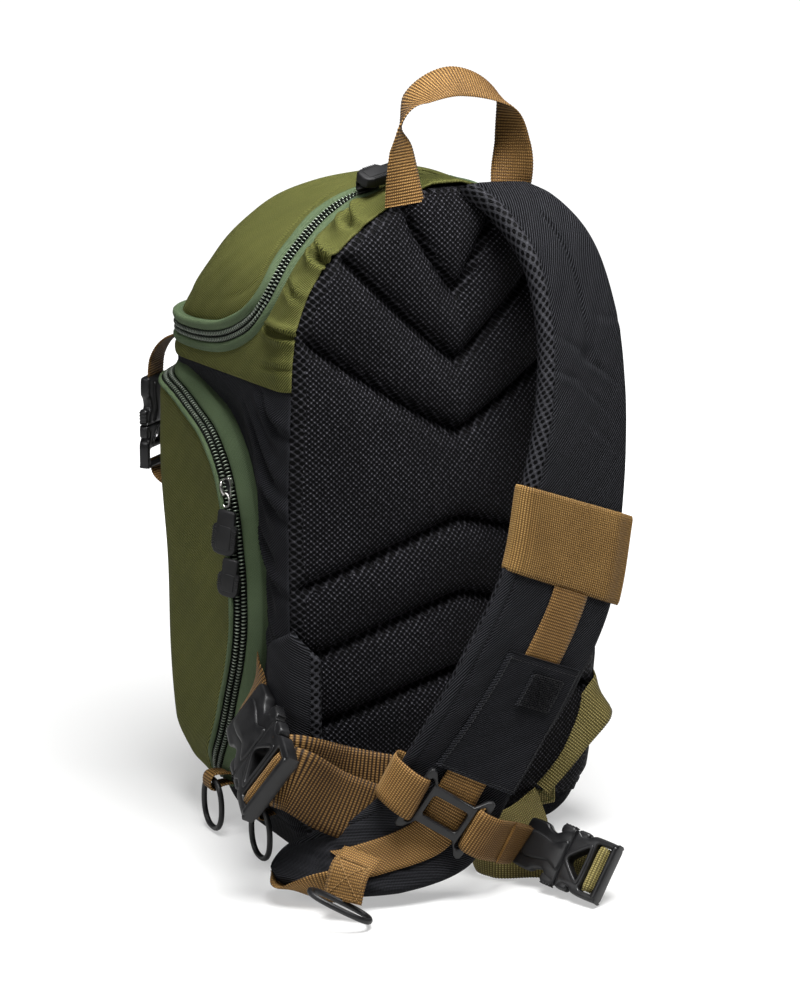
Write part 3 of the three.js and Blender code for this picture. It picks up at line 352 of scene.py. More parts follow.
def gridFaces(rows, columns, closed=False):
    index = np.arange(rows * columns).reshape(rows, columns)
    right = np.roll(index, -1, axis=1) if closed else index[:, 1:]
    left = index if closed else index[:, :-1]
    return np.stack([left[:-1], right[:-1], right[1:], left[1:]], -1).reshape(-1, 4)


def blendStep(value, low, high):
    share = np.clip((np.asarray(value, float) - low) / (high - low), 0, 1)
    return share * share * (3 - 2 * share)


def unit(vectors):
    vectors = np.asarray(vectors, float)
    return vectors / np.maximum(np.linalg.norm(vectors, axis=-1, keepdims=True), 1e-9)


# distance walked from the first point to each of the others
def lengthAlong(points):
    return np.concatenate([[0], np.cumsum(np.linalg.norm(np.diff(points, axis=0), axis=1))])


def bell(away, width):
    return np.exp(-(away / width) ** 2)


# slow noise over many points
def cloud(points, scale, seed=0.0):
    scaled = np.asarray(points, float) * scale
    return np.array([noise.noise(Vector((p[0] + seed, p[1] - seed, p[2] + 2 * seed))) for p in scaled])


# smooth column of a table that never overshoots its rows
def smoothColumn(keys, values):
    keys = np.asarray(keys, float)
    values = np.asarray(values, float)
    steps = np.diff(values) / np.diff(keys)
    slopes = np.concatenate([[steps[0]], np.where(steps[1:] * steps[:-1] > 0,
                             2 * steps[1:] * steps[:-1] / (steps[1:] + steps[:-1] + 1e-12), 0), [steps[-1]]])

    def at(query):
        query = np.clip(np.asarray(query, float), keys[0], keys[-1])
        i = np.clip(np.searchsorted(keys, query, side="right") - 1, 0, len(keys) - 2)
        wide = keys[i + 1] - keys[i]
        t = (query - keys[i]) / wide
        return ((1 + 2 * t) * (1 - t) ** 2 * values[i] + t * (1 - t) ** 2 * wide * slopes[i]
                + t * t * (3 - 2 * t) * values[i + 1] + t * t * (t - 1) * wide * slopes[i + 1])
    return at


# curve through stations, eased by the distances between them
def throughPoints(points, t):
    points = np.asarray(points, float)
    last = len(points) - 1
    spot = np.clip(np.asarray(t, float), 0, 1) * last
    i = np.minimum(spot.astype(int), last - 1)
    w = (spot - i)[:, None]
    padded = np.vstack([2 * points[0] - points[1], points, 2 * points[-1] - points[-2]])
    p0, p1, p2, p3 = (padded[i + k] for k in range(4))
    d0, d1, d2 = (np.maximum(np.linalg.norm(b - a, axis=1, keepdims=True) ** 0.5, 1e-4)
                  for a, b in ((p0, p1), (p1, p2), (p2, p3)))
    t1 = ((p1 - p0) / d0 - (p2 - p0) / (d0 + d1) + (p2 - p1) / d1) * d1
    t2 = ((p2 - p1) / d1 - (p3 - p1) / (d1 + d2) + (p3 - p2) / d2) * d1
    return (p1 + t1 * w + (3 * (p2 - p1) - 2 * t1 - t2) * w ** 2 + (2 * (p1 - p2) + t1 + t2) * w ** 3)


# camera at the photographed angle, about 2 m off
view = {"at": (-0.901, -1.709, 0.723), "target": (0.006, -0.003, 0.205), "lens": 115.2}


def setCamera():
    data = bpy.data.cameras.new("camera")
    data.lens = view["lens"]
    data.sensor_width = 36
    data.clip_end = 20
    camera = bpy.data.objects.new("camera", data)
    camera.location = view["at"]
    camera.rotation_euler = (Vector(view["target"]) - Vector(view["at"])).to_track_quat("-Z", "Y").to_euler()
    bpy.context.scene.collection.objects.link(camera)
    bpy.context.scene.camera = camera


studio = {
    "floor": (0.50, 0.50, 0.495), "fleck": (0.54, 0.54, 0.535), "reach": 1.5, "world": 0.06, "backdrop": 1.1,
    "bounce": 0.25, "glow": (0.42, 1.05), "fade": (0.32, 0.85),
    "lamps": [  # name, place, aims at, size, watts
        ("topSoftbox", (-0.08, -0.36, 1.4), (0, -0.02, 0.2), 0.9, 34),
        ("keySoftbox", (0.6, -0.95, 1.45), (0, -0.05, 0.3), 0.5, 3.5),
        ("harnessSoftbox", (0.12, -0.46, 1.02), (0.02, -0.1, 0.3), 0.4, 3),
        ("leftFill", (-1.7, -0.3, 1.1), (0, 0, 0.25), 0.7, 6.5),
    ],
}


def setStudio():
    world = bpy.data.worlds.new("studio")
    bpy.context.scene.world = world
    world.use_nodes = True
    tree = world.node_tree
    tree.nodes["Background"].inputs["Color"].default_value = (1, 1, 1, 1)
    seen = tree.nodes.new("ShaderNodeLightPath")  # paper white behind, dimmer as a light
    strength = mapRange(tree, seen.outputs["Is Camera Ray"], 0, 1, studio["world"], studio["backdrop"])
    tree.links.new(strength, tree.nodes["Background"].inputs["Strength"])
    for name, place, aim, size, watts in studio["lamps"]:
        data = bpy.data.lights.new(name, "AREA")
        data.shape = "DISK"
        data.size = size
        data.energy = watts
        lamp = bpy.data.objects.new(name, data)
        lamp.location = place
        lamp.rotation_euler = (Vector(aim) - Vector(place)).to_track_quat("-Z", "Y").to_euler()
        bpy.context.scene.collection.objects.link(lamp)
    mesh = bpy.data.meshes.new("floor")
    turns = np.linspace(0, 2 * np.pi, 64, endpoint=False)
    ring = [(studio["reach"] * math.cos(a), studio["reach"] * math.sin(a), -0.0005) for a in turns]
    mesh.from_pydata(ring, [], [list(range(len(ring)))])
    material, tree, shader = startMaterial("floorPaper", studio["floor"], 0.9, 0.05)
    paper = mixColour(tree, grain(tree, 3, 2), studio["floor"], studio["fleck"])
    tree.links.new(paper, shader.inputs["Base Color"])
    away = tree.nodes.new("ShaderNodeVectorMath")  # the sweep brightens away from the bag
    away.operation = "LENGTH"
    tree.links.new(tree.nodes.new("ShaderNodeTexCoord").outputs["Object"], away.inputs[0])
    shader.inputs["Emission Color"].default_value = (1, 1, 1, 1)
    seen = tree.nodes.new("ShaderNodeLightPath")
    glow = mapRange(tree, away.outputs["Value"], *studio["fade"], *studio["glow"])
    dimmed = mapRange(tree, seen.outputs["Is Camera Ray"], 0, 1, studio["bounce"], 1)
    tree.links.new(calc(tree, "MULTIPLY", glow, dimmed), shader.inputs["Emission Strength"])
    mesh.materials.append(material)
    floor = bpy.data.objects.new("floor", mesh)
    bpy.context.scene.collection.objects.link(floor)
    bpy.context.scene.view_settings.view_transform = "Standard"
    bpy.context.scene.view_settings.look = "None"


setCamera()
setStudio()
print("camera and studio ready")

# bag body: sections from the floor to the crown, and seams seen from the side
body = {
    # z, half width, back, front, back corner, front corner
    "sections": [
        (0, 84, -64, 46, 24, 30), (6, 90, -70, 52, 18, 32), (14, 95, -73, 57, 14, 32),
        (28, 101, -75, 62, 12, 34), (36, 106, -75, 98, 12, 38), (60, 109, -75, 105, 12, 38),
        (110, 110, -75, 109, 12, 38), (165, 110, -75, 112, 12, 38), (235, 110, -75, 120, 12, 38),
        (262, 109, -75, 118, 12, 38), (286, 108, -75, 112, 12, 38), (311, 107, -75, 111, 12, 42),
        (334, 104, -75, 104, 12, 57), (354, 97, -75, 94, 12, 60), (368, 88, -75, 86, 12, 55),
        (382, 74, -75, 75, 12, 48), (392, 61, -75, 64, 11, 40), (403, 43, -75, 40, 10, 30),
        (410, 26, -75, 12, 8, 20), (415, 11, -75, -14, 5, 9)],
    "lidSeam": [(-36, 440), (-34, 411), (-31, 398), (-36, 376), (-38, 354), (-26, 335), (6, 320),
                (46, 313), (90, 312), (160, 312)],
    "pocketSeam": [(160, 282), (84, 276), (46, 265), (18, 253), (-3, 232), (-14, 200), (-20, 162),
                   (-17, 130), (-6, 100), (10, 66), (29, 38), (44, 10)],
    "bandSeam": [(-160, 304), (-75, 300), (160, 290)],
    "lidTape": 8.5, "pocketIn": 5, "pocketOut": 15, "frontStrip": 5, "hingeHalf": 26,
    "baseTop": 30, "panelCut": -72.6, "panelFoot": 21.7, "panelInset": 4.4,
    "flareIn": 9, "flareOut": 5, "flareReach": 50, "wall": 1.6,
    "rows": 230, "steps": (14, 9, 76, 18, 22),
}


def hermite(start, end, leave, arrive, w):
    return ((2 * (start - end) + leave + arrive) * w ** 3 + (3 * (end - start) - 2 * leave - arrive) * w ** 2
            + leave * w + start)


def seamLine(rows, steps):
    points = np.asarray(rows, float)
    last = len(points) - 1
    spot = np.linspace(0, last, steps)
    i = np.minimum(spot.astype(int), last - 1)
    w = (spot - i)[:, None]
    p0, p1 = points[np.maximum(i - 1, 0)], points[i]
    p2, p3 = points[i + 1], points[np.minimum(i + 2, last)]
    v0, v1 = (p2 - p0) / 2, (p3 - p1) / 2
    return hermite(p1, p2, v0, v1, w)


# signed distance from a seam in side view, and the place along it
def seamDistance(line, y, z):
    spots = np.stack([np.ravel(y), np.ravel(z)], -1)
    start, edge = line[:-1], np.diff(line, axis=0)
    lengths = np.linalg.norm(edge, axis=1)
    travelled = np.concatenate([[0], np.cumsum(lengths)[:-1]])
    best = np.full(len(spots), 1e9)
    side = np.ones(len(spots))
    along = np.zeros(len(spots))
    for a, e, length, done in zip(start, edge, lengths, travelled):
        rel = spots - a
        t = np.clip(rel @ e / length ** 2, 0, 1)
        away = np.linalg.norm(rel - t[:, None] * e, axis=1)
        near = away < best
        best = np.where(near, away, best)
        side = np.where(near, np.where(e[0] * rel[:, 1] - e[1] * rel[:, 0] < 0, -1.0, 1.0), side)
        along = np.where(near, done + t * length, along)
    return (best * side).reshape(np.shape(y)), along.reshape(np.shape(y))


lidLine = seamLine(body["lidSeam"], 120)
pocketLine = seamLine(body["pocketSeam"], 120)
sectionAt = [smoothColumn([row[0] for row in body["sections"]], [row[k] for row in body["sections"]])
             for k in range(1, 6)]


def bandHeight(y):
    seam = np.asarray(body["bandSeam"], float)
    return np.interp(y, seam[:, 0], seam[:, 1])


# the side is drawn in behind the pocket zip and swollen in front of it
def flare(y, z):
    d, _ = seamDistance(pocketLine, y, z)
    inside, outside = body["pocketIn"], body["pocketOut"]
    slope = (d + outside) / (inside + outside)
    drawn = -body["flareIn"] * (1 - blendStep(-d, outside, body["flareReach"]))
    sloped = -body["flareIn"] + (body["flareIn"] + body["flareOut"]) * slope
    out = np.where(d < -outside, drawn, np.where(d < inside, sloped, body["flareOut"]))
    fade = blendStep(z, body["baseTop"], body["baseTop"] + 30) * (1 - blendStep(z, 270, 300))
    return out * fade


# rings of the body surface; each half ring runs back middle, corner, side, corner, front middle
def bodyGrid():
    fine = np.linspace(0, body["sections"][-1][0], 1200)
    profile = np.stack([sectionAt[0](fine), fine, sectionAt[2](fine)], -1)
    travelled = lengthAlong(profile)
    heights = np.interp(np.linspace(0, travelled[-1], body["rows"]), travelled, fine)
    half, back, front, rBack, rFront = (column(heights)[:, None] for column in sectionAt)
    z = heights[:, None]
    nBack, nCorner, nSide, nFront, nFlat = body["steps"]
    arc = np.linspace(0, np.pi / 2, nCorner)[None]
    bow = np.linspace(0, np.pi / 2, nFront)[None]
    share = np.linspace(0, 1, nBack)[None, :-1]
    run = np.linspace(0, 1, nSide)[None, 1:-1]
    flat = np.linspace(0, 1, nFlat)[None, 1:]
    x = np.hstack([(half - rBack) * share, half - rBack + rBack * np.sin(arc), half + 0 * run,
                   half - rFront + rFront * np.cos(bow), (half - rFront) * (1 - flat)])
    y = np.hstack([back + 0 * share, back + rBack - rBack * np.cos(arc),
                   (back + rBack) + (front - rFront - back - rBack) * run,
                   front - rFront + rFront * np.sin(bow), front + 0 * flat])
    z = z + 0 * x
    x = x + flare(y, z) * np.clip((x - half + rFront) / rFront, 0, 1)
    right = np.stack([x, y, z], -1)
    left = right[:, -2:0:-1] * np.array([-1, 1, 1])
    return np.concatenate([right, left], axis=1)


# closes a ring of the grid with shrinking rings, then a small cap
def closeRing(points, faces, ring, rings, lift, flip):
    centre = points[ring].mean(axis=0)
    count = len(ring)
    for k in range(1, rings + 1):
        inner = centre + (points[ring] - centre) * (1 - k / (rings + 1))
        inner[:, 2] = points[ring][:, 2] + lift * (1 - (1 - k / (rings + 1)) ** 2)
        fresh = np.arange(len(points), len(points) + count)
        points = np.vstack([points, inner])
        outerRing = ring if k == 1 else fresh - count
        quads = np.stack([outerRing, np.roll(outerRing, -1), np.roll(fresh, -1), fresh], -1)
        faces = np.vstack([faces, quads[:, ::-1] if flip else quads])
    return points, faces, np.arange(len(points) - count, len(points))


def cutAlong(bm, field):
    bm.verts.index_update()
    bm.verts.ensure_lookup_table()
    values = field(np.array([v.co for v in bm.verts]))
    fresh = []
    for edge in list(bm.edges):
        a, b = edge.verts
        low, high = values[a.index], values[b.index]
        if (low < 0) != (high < 0):
            fresh.append(bmesh.utils.edge_split(edge, a, min(max(low / (low - high), 0.02), 0.98))[1])
    bmesh.ops.connect_verts(bm, verts=fresh)


def buildShell():
    grid = bodyGrid()
    rows, columns = grid.shape[:2]
    points = grid.reshape(-1, 3)
    faces = gridFaces(rows, columns, closed=True)
    top = np.arange((rows - 1) * columns, rows * columns)
    points, faces, topRing = closeRing(points, faces, top, 4, 1.2, False)
    points, faces, lowRing = closeRing(points, faces, np.arange(columns), 10, 0.0, True)
    bm = bmesh.new()
    verts = [bm.verts.new(p) for p in points]
    for face in faces:
        bm.faces.new([verts[i] for i in face])
    bm.faces.new([verts[i] for i in topRing])
    bm.faces.new([verts[i] for i in lowRing[::-1]])
    cuts = [
        lambda p: p[:, 1] - body["panelCut"],
        lambda p: np.where(p[:, 1] < body["panelCut"] - 0.01, p[:, 2] - body["panelFoot"], p[:, 2] - body["baseTop"]),
        lambda p: seamDistance(lidLine, p[:, 1], p[:, 2])[0] - body["lidTape"],
        lambda p: seamDistance(lidLine, p[:, 1], p[:, 2])[0] + body["lidTape"],
        lambda p: seamDistance(pocketLine, p[:, 1], p[:, 2])[0] - body["pocketIn"],
        lambda p: seamDistance(pocketLine, p[:, 1], p[:, 2])[0] + body["pocketOut"],
        lambda p: p[:, 2] - bandHeight(p[:, 1]) + body["frontStrip"],
        lambda p: p[:, 2] - bandHeight(p[:, 1]),
        lambda p: np.where(p[:, 2] > 370, np.abs(p[:, 0]) - body["hingeHalf"], 1.0),
    ]
    for cut in cuts:
        cutAlong(bm, cut)
    bm.normal_update()
    bm.verts.index_update()
    points = np.array([v.co for v in bm.verts])
    normals = np.array([v.normal for v in bm.verts])
    faces = [[v.index for v in face.verts] for face in bm.faces]
    bm.free()
    if np.mean(np.sum(normals * (points - [0, 20, 200]), axis=1)) < 0:
        normals = -normals
        faces = [face[::-1] for face in faces]
    return points, normals, faces


def shellRegion(centres):
    x, y, z = centres.T
    dLid, _ = seamDistance(lidLine, y, z)
    dPocket, _ = seamDistance(pocketLine, y, z)
    tape = body["lidTape"]
    low = z < bandHeight(y) - body["frontStrip"]
    region = np.full(len(centres), "side_wall", object)
    region[(dPocket > -body["pocketOut"]) & low] = "pocket_zip_tape"
    region[(dPocket > body["pocketIn"]) & low] = "front_pocket"
    region[z < body["baseTop"]] = "base"
    region[z > bandHeight(y)] = "upper_band"
    region[(dLid > -tape) & (z > bandHeight(y))] = "lid_zip_tape"
    region[(dLid > tape) & (z > bandHeight(y))] = "lid"
    hinge = (np.abs(x) < body["hingeHalf"]) & (z > 380) & (y < 20) & (dLid < tape)
    region[hinge] = "upper_band"
    behind = (y < body["panelCut"]) & (z > body["panelFoot"])
    region[behind] = ""
    return region


shellPoints, shellNormals, shellFaces = buildShell()
shellCentres = np.array([shellPoints[face].mean(axis=0) for face in shellFaces])
shellRegions = shellRegion(shellCentres)
print("shell", len(shellPoints), "points,", {name: int((shellRegions == name).sum()) for name in set(shellRegions)})


# cloth of the body: how each panel swells, puckers and meets its seams
cloth = {
    "lidSwell": 2.2, "pocketSwell": 1.4, "pocketLip": 2.4, "seamDip": 0.9,
    "puckerHeight": 1.25, "puckerWidth": 2.4, "foldHeight": 3.6, "foldWidth": 4.3,
    # finish, and width of the cut in metres
    "panels": {"lid": ("oliveCloth", 0.36), "upper_band": ("oliveCloth", 0.09), "front_pocket": ("oliveCloth", 0.30),
               "side_wall": ("blackCloth", 0.28), "base": ("blackCloth", 0.22)},
    "cutFill": 0.8,  # share of the cut rectangle that the panel fills
    # puckers of the band: side-view y, z, direction in degrees, length, depth
    "puckers": [(-54, 397, 20, 26, 7.0), (-62, 377, 24, 30, 8.5), (-60, 333, 8, 36, 7.5), (-60, 356, 16, 24, 2.6),
                (-62, 312, -8, 30, 2.0)],
    # folds of the black side, from the panel seam into the bag
    "folds": [(-52, 286, 35, 46, 1.6), (-45, 262, 42, 50, 1.8), (-48, 238, 36, 48, 2.0), (-42, 214, 44, 46, 1.7),
              (-50, 192, 38, 44, 1.9), (-46, 166, 50, 46, 1.6), (-44, 136, 40, 44, 1.5), (-30, 96, 60, 46, 1.6),
              (-20, 66, 48, 40, 1.5)],
}


def creases(y, z, rows, width):
    total = np.zeros(np.shape(y))
    for cy, cz, turn, length, depth in rows:
        a = math.radians(turn)
        along = (y - cy) * math.cos(a) + (z - cz) * math.sin(a)
        off = -(y - cy) * math.sin(a) + (z - cz) * math.cos(a)
        off = off + 1.2 * np.sin(along / 9 + cz)
        fade = bell(along, length / 2)
        total += depth * fade * (0.8 * bell(off - width, width) - np.exp(-(off / width * 1.3) ** 2)
                                 + 0.5 * bell(off + width * 1.2, width))
    return total


def panelLift(name, points):
    _, y, z = points.T
    dLid, _ = seamDistance(lidLine, y, z)
    dPocket, _ = seamDistance(pocketLine, y, z)
    tape = body["lidTape"]
    slow = cloud(points, 0.018, 3.1)
    quick = cloud(points, 0.05, 8.4)
    if name == "lid":
        d = np.maximum(dLid - tape, 0)
        crease = 0.7 * bell(d - 13 - 3 * slow, 1.6) * blendStep(z, 325, 350)
        lift = (cloth["lidSwell"] - 0.3 * np.exp(-d / 9) - cloth["seamDip"] * np.exp(-d / 2.5)
                + 0.7 * slow * blendStep(d, 0, 25) - crease)
        settled = blendStep(y, -73, -52)
        return lift * settled - 0.6 * (1 - settled)
    if name == "front_pocket":
        d = np.maximum(dPocket - body["pocketIn"], 0)
        lip = cloth["pocketLip"] * np.exp(-d / 10)
        return cloth["pocketSwell"] + lip - cloth["seamDip"] * np.exp(-d / 2.5) + 0.9 * slow * blendStep(d, 0, 30)
    if name == "upper_band":
        d = np.maximum(-dLid - tape, 0)
        pucker = cloth["puckerHeight"] * creases(y, z, cloth["puckers"], cloth["puckerWidth"])
        pucker = pucker + 0.4 * slow + 0.15 * quick
        rim = np.exp(-np.maximum(z - bandHeight(y), 0) / 2.5)
        return 1.6 * (1 - np.exp(-d / 6)) + pucker * blendStep(d, 0, 5) - 0.8 * rim
    if name == "side_wall":
        d = np.minimum(np.maximum(-dPocket - body["pocketOut"], 0), np.maximum(bandHeight(y) - z, 0))
        fold = cloth["foldHeight"] * creases(y, z, cloth["folds"], cloth["foldWidth"]) + 1.2 * slow + 0.9 * quick
        risen = blendStep(z, body["baseTop"], body["baseTop"] + 14)
        return 0.8 * (1 - np.exp(-d / 6)) + fold * blendStep(d, 0, 9) * risen
    piping = 1.5 * bell(z - body["baseTop"] + 3.5, 1.7)
    return piping + 0.6 * slow * blendStep(z, 2, 10) * (1 - blendStep(z, 20, 27))


# cloth map: across the bag and up its side, measured along the surface
fineHeights = np.linspace(0, body["sections"][-1][0], 400)
sideRise = np.concatenate([[0], np.cumsum(np.hypot(np.diff(fineHeights), np.diff(sectionAt[0](fineHeights))))])


def shellMap(points):
    x, y, z = points.T
    half, front = sectionAt[0](np.clip(z, 0, 400)), sectionAt[2](np.clip(z, 0, 400))
    turned = y + np.tanh(y / 25) * np.maximum(half - np.abs(x), 0)
    around = np.where(x < 0, turned, 2 * (front + half) - turned)
    return np.stack([around, np.interp(z, fineHeights, sideRise)], -1)


def buildPanels():
    for name, (material, across) in cloth["panels"].items():
        picked = [face for face, region in zip(shellFaces, shellRegions) if region == name]
        used = np.unique(np.concatenate([np.array(face) for face in picked]))
        lookup = np.full(len(shellPoints), -1)
        lookup[used] = np.arange(len(used))
        rest = shellPoints[used]
        points = rest + shellNormals[used] * panelLift(name, rest)[:, None]
        points[:, 2] = np.maximum(points[:, 2], 0.2)
        faces = [lookup[face] for face in picked]
        edges = {}
        for face in faces:
            for a, b in zip(face, np.roll(face, -1)):
                key = (min(a, b), max(a, b))
                edges[key] = edges.get(key, 0) + 1
        rim = np.zeros(len(used))
        for (a, b), times in edges.items():
            if times == 1:
                rim[a] = rim[b] = 1
        piece = makePiece(name + "_cloth", points, faces, [material], name, shellMap(rest), rim)
        wall = piece.modifiers.new("wall", "SOLIDIFY")
        wall.thickness = body["wall"] * mm
        wall.offset = -1


buildPanels()
print("body panels sewn,", len(cloth["panels"]))


# padded back panel: swell by height, and chevron grooves between the pads
backPanel = {
    "swell": [(22, 4), (60, 14), (120, 22), (190, 21), (260, 16), (320, 12), (380, 8), (414, 2)],
    # height at the middle, height at the edge, how far out they reach
    "grooves": [(353, 404, 19), (312, 386, 65), (269, 340, 95), (216, 176, 98), (170, 134, 92), (124, 90, 90)],
    "back": -75, "grooveDeep": 9.0, "grooveWide": 2.8, "pillow": 5.0, "columns": 170, "rows": 300,
    "foot": 22, "top": 413, "bunch": 0.82,  # bunch crowds the columns towards the edges
    "wrap": [(-0.1, 3.6), (0.6, 5.5), (2.0, 10.6)],  # the edge as it turns in: inset, depth
}


def grooveDistance(x, z):
    best = np.full(np.shape(x), 99.0)
    for mid, edge, reach in backPanel["grooves"]:
        share = np.abs(x) / (reach + 14)
        line = mid + (edge - mid) * np.minimum(share, 1.2) ** 1.15
        slope = (edge - mid) / (reach + 14)
        away = np.abs(z - line) / math.sqrt(1 + slope ** 2)
        away = away + np.maximum(np.abs(x) - reach - 8, 0)
        best = np.minimum(best, away)
    return best


def buildBackPanel():
    swellAt = smoothColumn(*zip(*backPanel["swell"]))
    heights = np.linspace(backPanel["foot"], backPanel["top"], backPanel["rows"])[:, None]
    half = sectionAt[0](heights) - body["panelInset"]
    share = np.sin(np.linspace(-1, 1, backPanel["columns"]) * np.pi / 2 * backPanel["bunch"])
    share = (share / math.sin(np.pi / 2 * backPanel["bunch"]))[None]
    x = half * share
    z = heights + 0 * x
    border = np.minimum((1 - np.abs(share)) * half, np.minimum(backPanel["top"] + 4 - z, z - backPanel["foot"] + 2))
    away = grooveDistance(x, z)
    crease = np.exp(-np.sqrt(away ** 2 + 0.5) / backPanel["grooveWide"])
    pad = swellAt(z) * np.clip(1 - share ** 2, 0, 1) ** 0.8
    pillow = backPanel["pillow"] * (1 - np.exp(-away / 13)) * (1 - np.exp(-border / 9))
    wobble = 0.5 * cloud(np.stack([x, 0 * x, z], -1).reshape(-1, 3), 0.045, 5.5).reshape(x.shape)
    deep = backPanel["grooveDeep"] * crease * blendStep(border, 0, 12)
    hem = 1.8 * np.exp(-border / 3.0)
    y = backPanel["back"] - pad - pillow - wobble * blendStep(border, 0, 20) + deep + hem
    face = np.stack([x, y, z], -1)
    rim = np.clip(np.exp(-np.maximum(away - 1.5, 0) / 3.5) * 0.9 + np.exp(-np.maximum(border - 3, 0) / 4.5), 0, 1)
    right = np.stack([np.concatenate([half - inset, backPanel["back"] + depth + 0 * half, heights], axis=1)
                      for inset, depth in backPanel["wrap"]], axis=1)
    left = right[:, ::-1] * np.array([-1, 1, 1])
    grid = np.concatenate([left, face, right], axis=1)
    turns = len(backPanel["wrap"])
    rim = np.pad(rim, ((0, 0), (turns, turns)), constant_values=1.0)
    deepest = backPanel["back"] + backPanel["wrap"][-1][1]
    low = grid[:1].copy()
    low[:, :, 1] = np.maximum(low[:, :, 1], deepest)
    high = grid[-1:].copy()
    high[:, :, 1] = deepest
    grid = np.concatenate([low, grid, high])
    rim = np.concatenate([rim[:1], rim, rim[-1:]])
    rows, columns = grid.shape[:2]
    faces = gridFaces(rows, columns)
    points = grid.reshape(-1, 3)
    wideHoled = rim.ravel()[faces].mean(axis=1) > 0.5
    piece = makePiece("back_pads", points, faces, ["airMesh", "borderMesh"], "back_panel",
                      points[:, [0, 2]], None, wideHoled.astype(int))


buildBackPanel()
print("back panel padded")


# strips through stations: x, y, z, across x, y, z, width
def stripFrames(rows, t, slanted=False):
    table = np.asarray(rows, float)
    centre = throughPoints(table[:, :3], t)
    ahead = throughPoints(table[:, :3], np.minimum(t + 1e-4, 1))
    behind = throughPoints(table[:, :3], np.maximum(t - 1e-4, 0))
    tangent = unit(ahead - behind)
    side = throughPoints(table[:, 3:6], t)
    if not slanted:
        side = side - np.sum(side * tangent, axis=1, keepdims=True) * tangent
    side = unit(side)
    normal = unit(np.cross(tangent, side))
    width = np.interp(t * (len(table) - 1), np.arange(len(table)), table[:, 6])
    return centre, tangent, side, normal, width


def evenSteps(rows, step, first=0.0, last=1.0):
    t = np.linspace(first, last, 600)
    path = stripFrames(rows, t)[0]
    travelled = lengthAlong(path)
    count = max(int(travelled[-1] / step), 4)
    spots = np.linspace(0, travelled[-1], count + 1)
    return np.interp(spots, travelled, t), spots


def capEnds(faces, rows, columns):
    first = list(range(columns))[::-1]
    last = list(range((rows - 1) * columns, rows * columns))
    return [list(f) for f in faces] + [first, last]


# ribbed webbing along given frames: real cross ribs and a serrated edge
ribbing = {"height": 0.34, "serration": 0.3, "step": 0.44, "padFrom": 3}  # ribs of the woven webbing


def weaveStrip(name, centre, side, normal, width, spots, thick, material, node=None, rib=1.75, shift=0.0, lift=0.0,
               columns=9, wobble=0.0, ribs=True):
    across = np.linspace(-1, 1, columns)
    phase = 2 * np.pi * spots / rib
    height = ribbing["height"] * (0.5 + 0.5 * np.cos(phase)) if ribs else 0 * spots
    edge = 1 + (ribbing["serration"] * np.cos(phase) / width if ribs else 0 * spots)
    soft = np.where(np.abs(across) > 0.995, 0.25, 1.0)
    top = (thick / 2 - ribbing["height"] * ribs + height)[:, None] * soft[None]
    a = (width / 2 * edge)[:, None] * across[None] + shift
    ripple = wobble * np.sin(spots / 11.0 + 0.6)[:, None] * (1 - across ** 2)[None] + lift

    def lay(offset):
        return centre[:, None] + side[:, None] * a[..., None] + normal[:, None] * (offset + ripple)[..., None]
    grid = np.concatenate([lay(top), lay(-top)[:, ::-1]], axis=1)
    rows = len(spots)
    uv = np.concatenate([np.stack([np.repeat(spots[:, None], columns, 1), a], -1),
                         np.stack([np.repeat(spots[:, None], columns, 1), a[:, ::-1]], -1)], axis=1)
    faces = capEnds(gridFaces(rows, 2 * columns, closed=True)[:, ::-1], rows, 2 * columns)
    piece = makePiece(name, grid.reshape(-1, 3), faces, [material], node, uv.reshape(-1, 2))


def ribbon(name, rows, material, node, thick=1.7, rib=1.75, first=0.0, lift=0.0):
    t, spots = evenSteps(rows, ribbing["step"], first)
    centre, _, side, normal, width = stripFrames(rows, t)
    weaveStrip(name, centre, side, normal, width, spots, thick, material, node, rib, lift=lift)


# shoulder strap stations
strap = {
    "stations": [
        (28, -81, 411, 1, 0, -0.05, 46), (41, -91, 401, 1, 0.08, 0.08, 46), (53, -112, 376, 0.97, 0.12, 0.2, 50),
        (57, -128, 338, 0.98, 0.11, 0.14, 56), (55, -138, 303, 0.99, 0.1, -0.06, 61),
        (50, -145, 268, 0.95, 0.09, -0.28, 68), (42, -150, 232, 0.93, 0.05, -0.36, 74),
        (30, -154, 183, 0.92, 0.03, -0.39, 80), (6, -155, 138, 0.92, -0.02, -0.38, 80),
        (-14, -153, 106, 0.91, -0.1, -0.4, 74), (-31, -148, 77, 0.86, -0.26, -0.44, 69),
        (-50, -138, 40, 0.69, -0.4, -0.61, 69), (-88, -127, 24, 0.55, -0.66, -0.52, 62),
        (-131, -101, 15.5, -0.05, -0.94, -0.32, 36)],
    "thick": 13, "corner": 5.2, "rows": 330, "meshIn": 7.5, "meshOut": 0.8, "meshTo": 0.5, "crown": 1.3,
    "dart": (0.085, 0.275, 1.5), "dartDeep": 1.5, "tip": 0.95,
    # creases of the outer cloth: along the strap, to the side, slant, length, depth
    "creases": [
        (0.262, -8, 0.9, 26, 1.1), (0.29, 6, 0.7, 30, 1.4), (0.30, -12, 0.5, 24, 1.0), (0.325, 2, 0.8, 34, 0.9),
        (0.37, 10, 0.6, 28, 0.7), (0.24, 20, 0.4, 22, 0.7), (0.79, -16, -0.6, 30, 0.9), (0.9, 12, -0.5, 24, 1.1),
        (0.93, -8, 0.4, 20, 1.2), (0.96, 4, 0.3, 18, 1.3)],
}


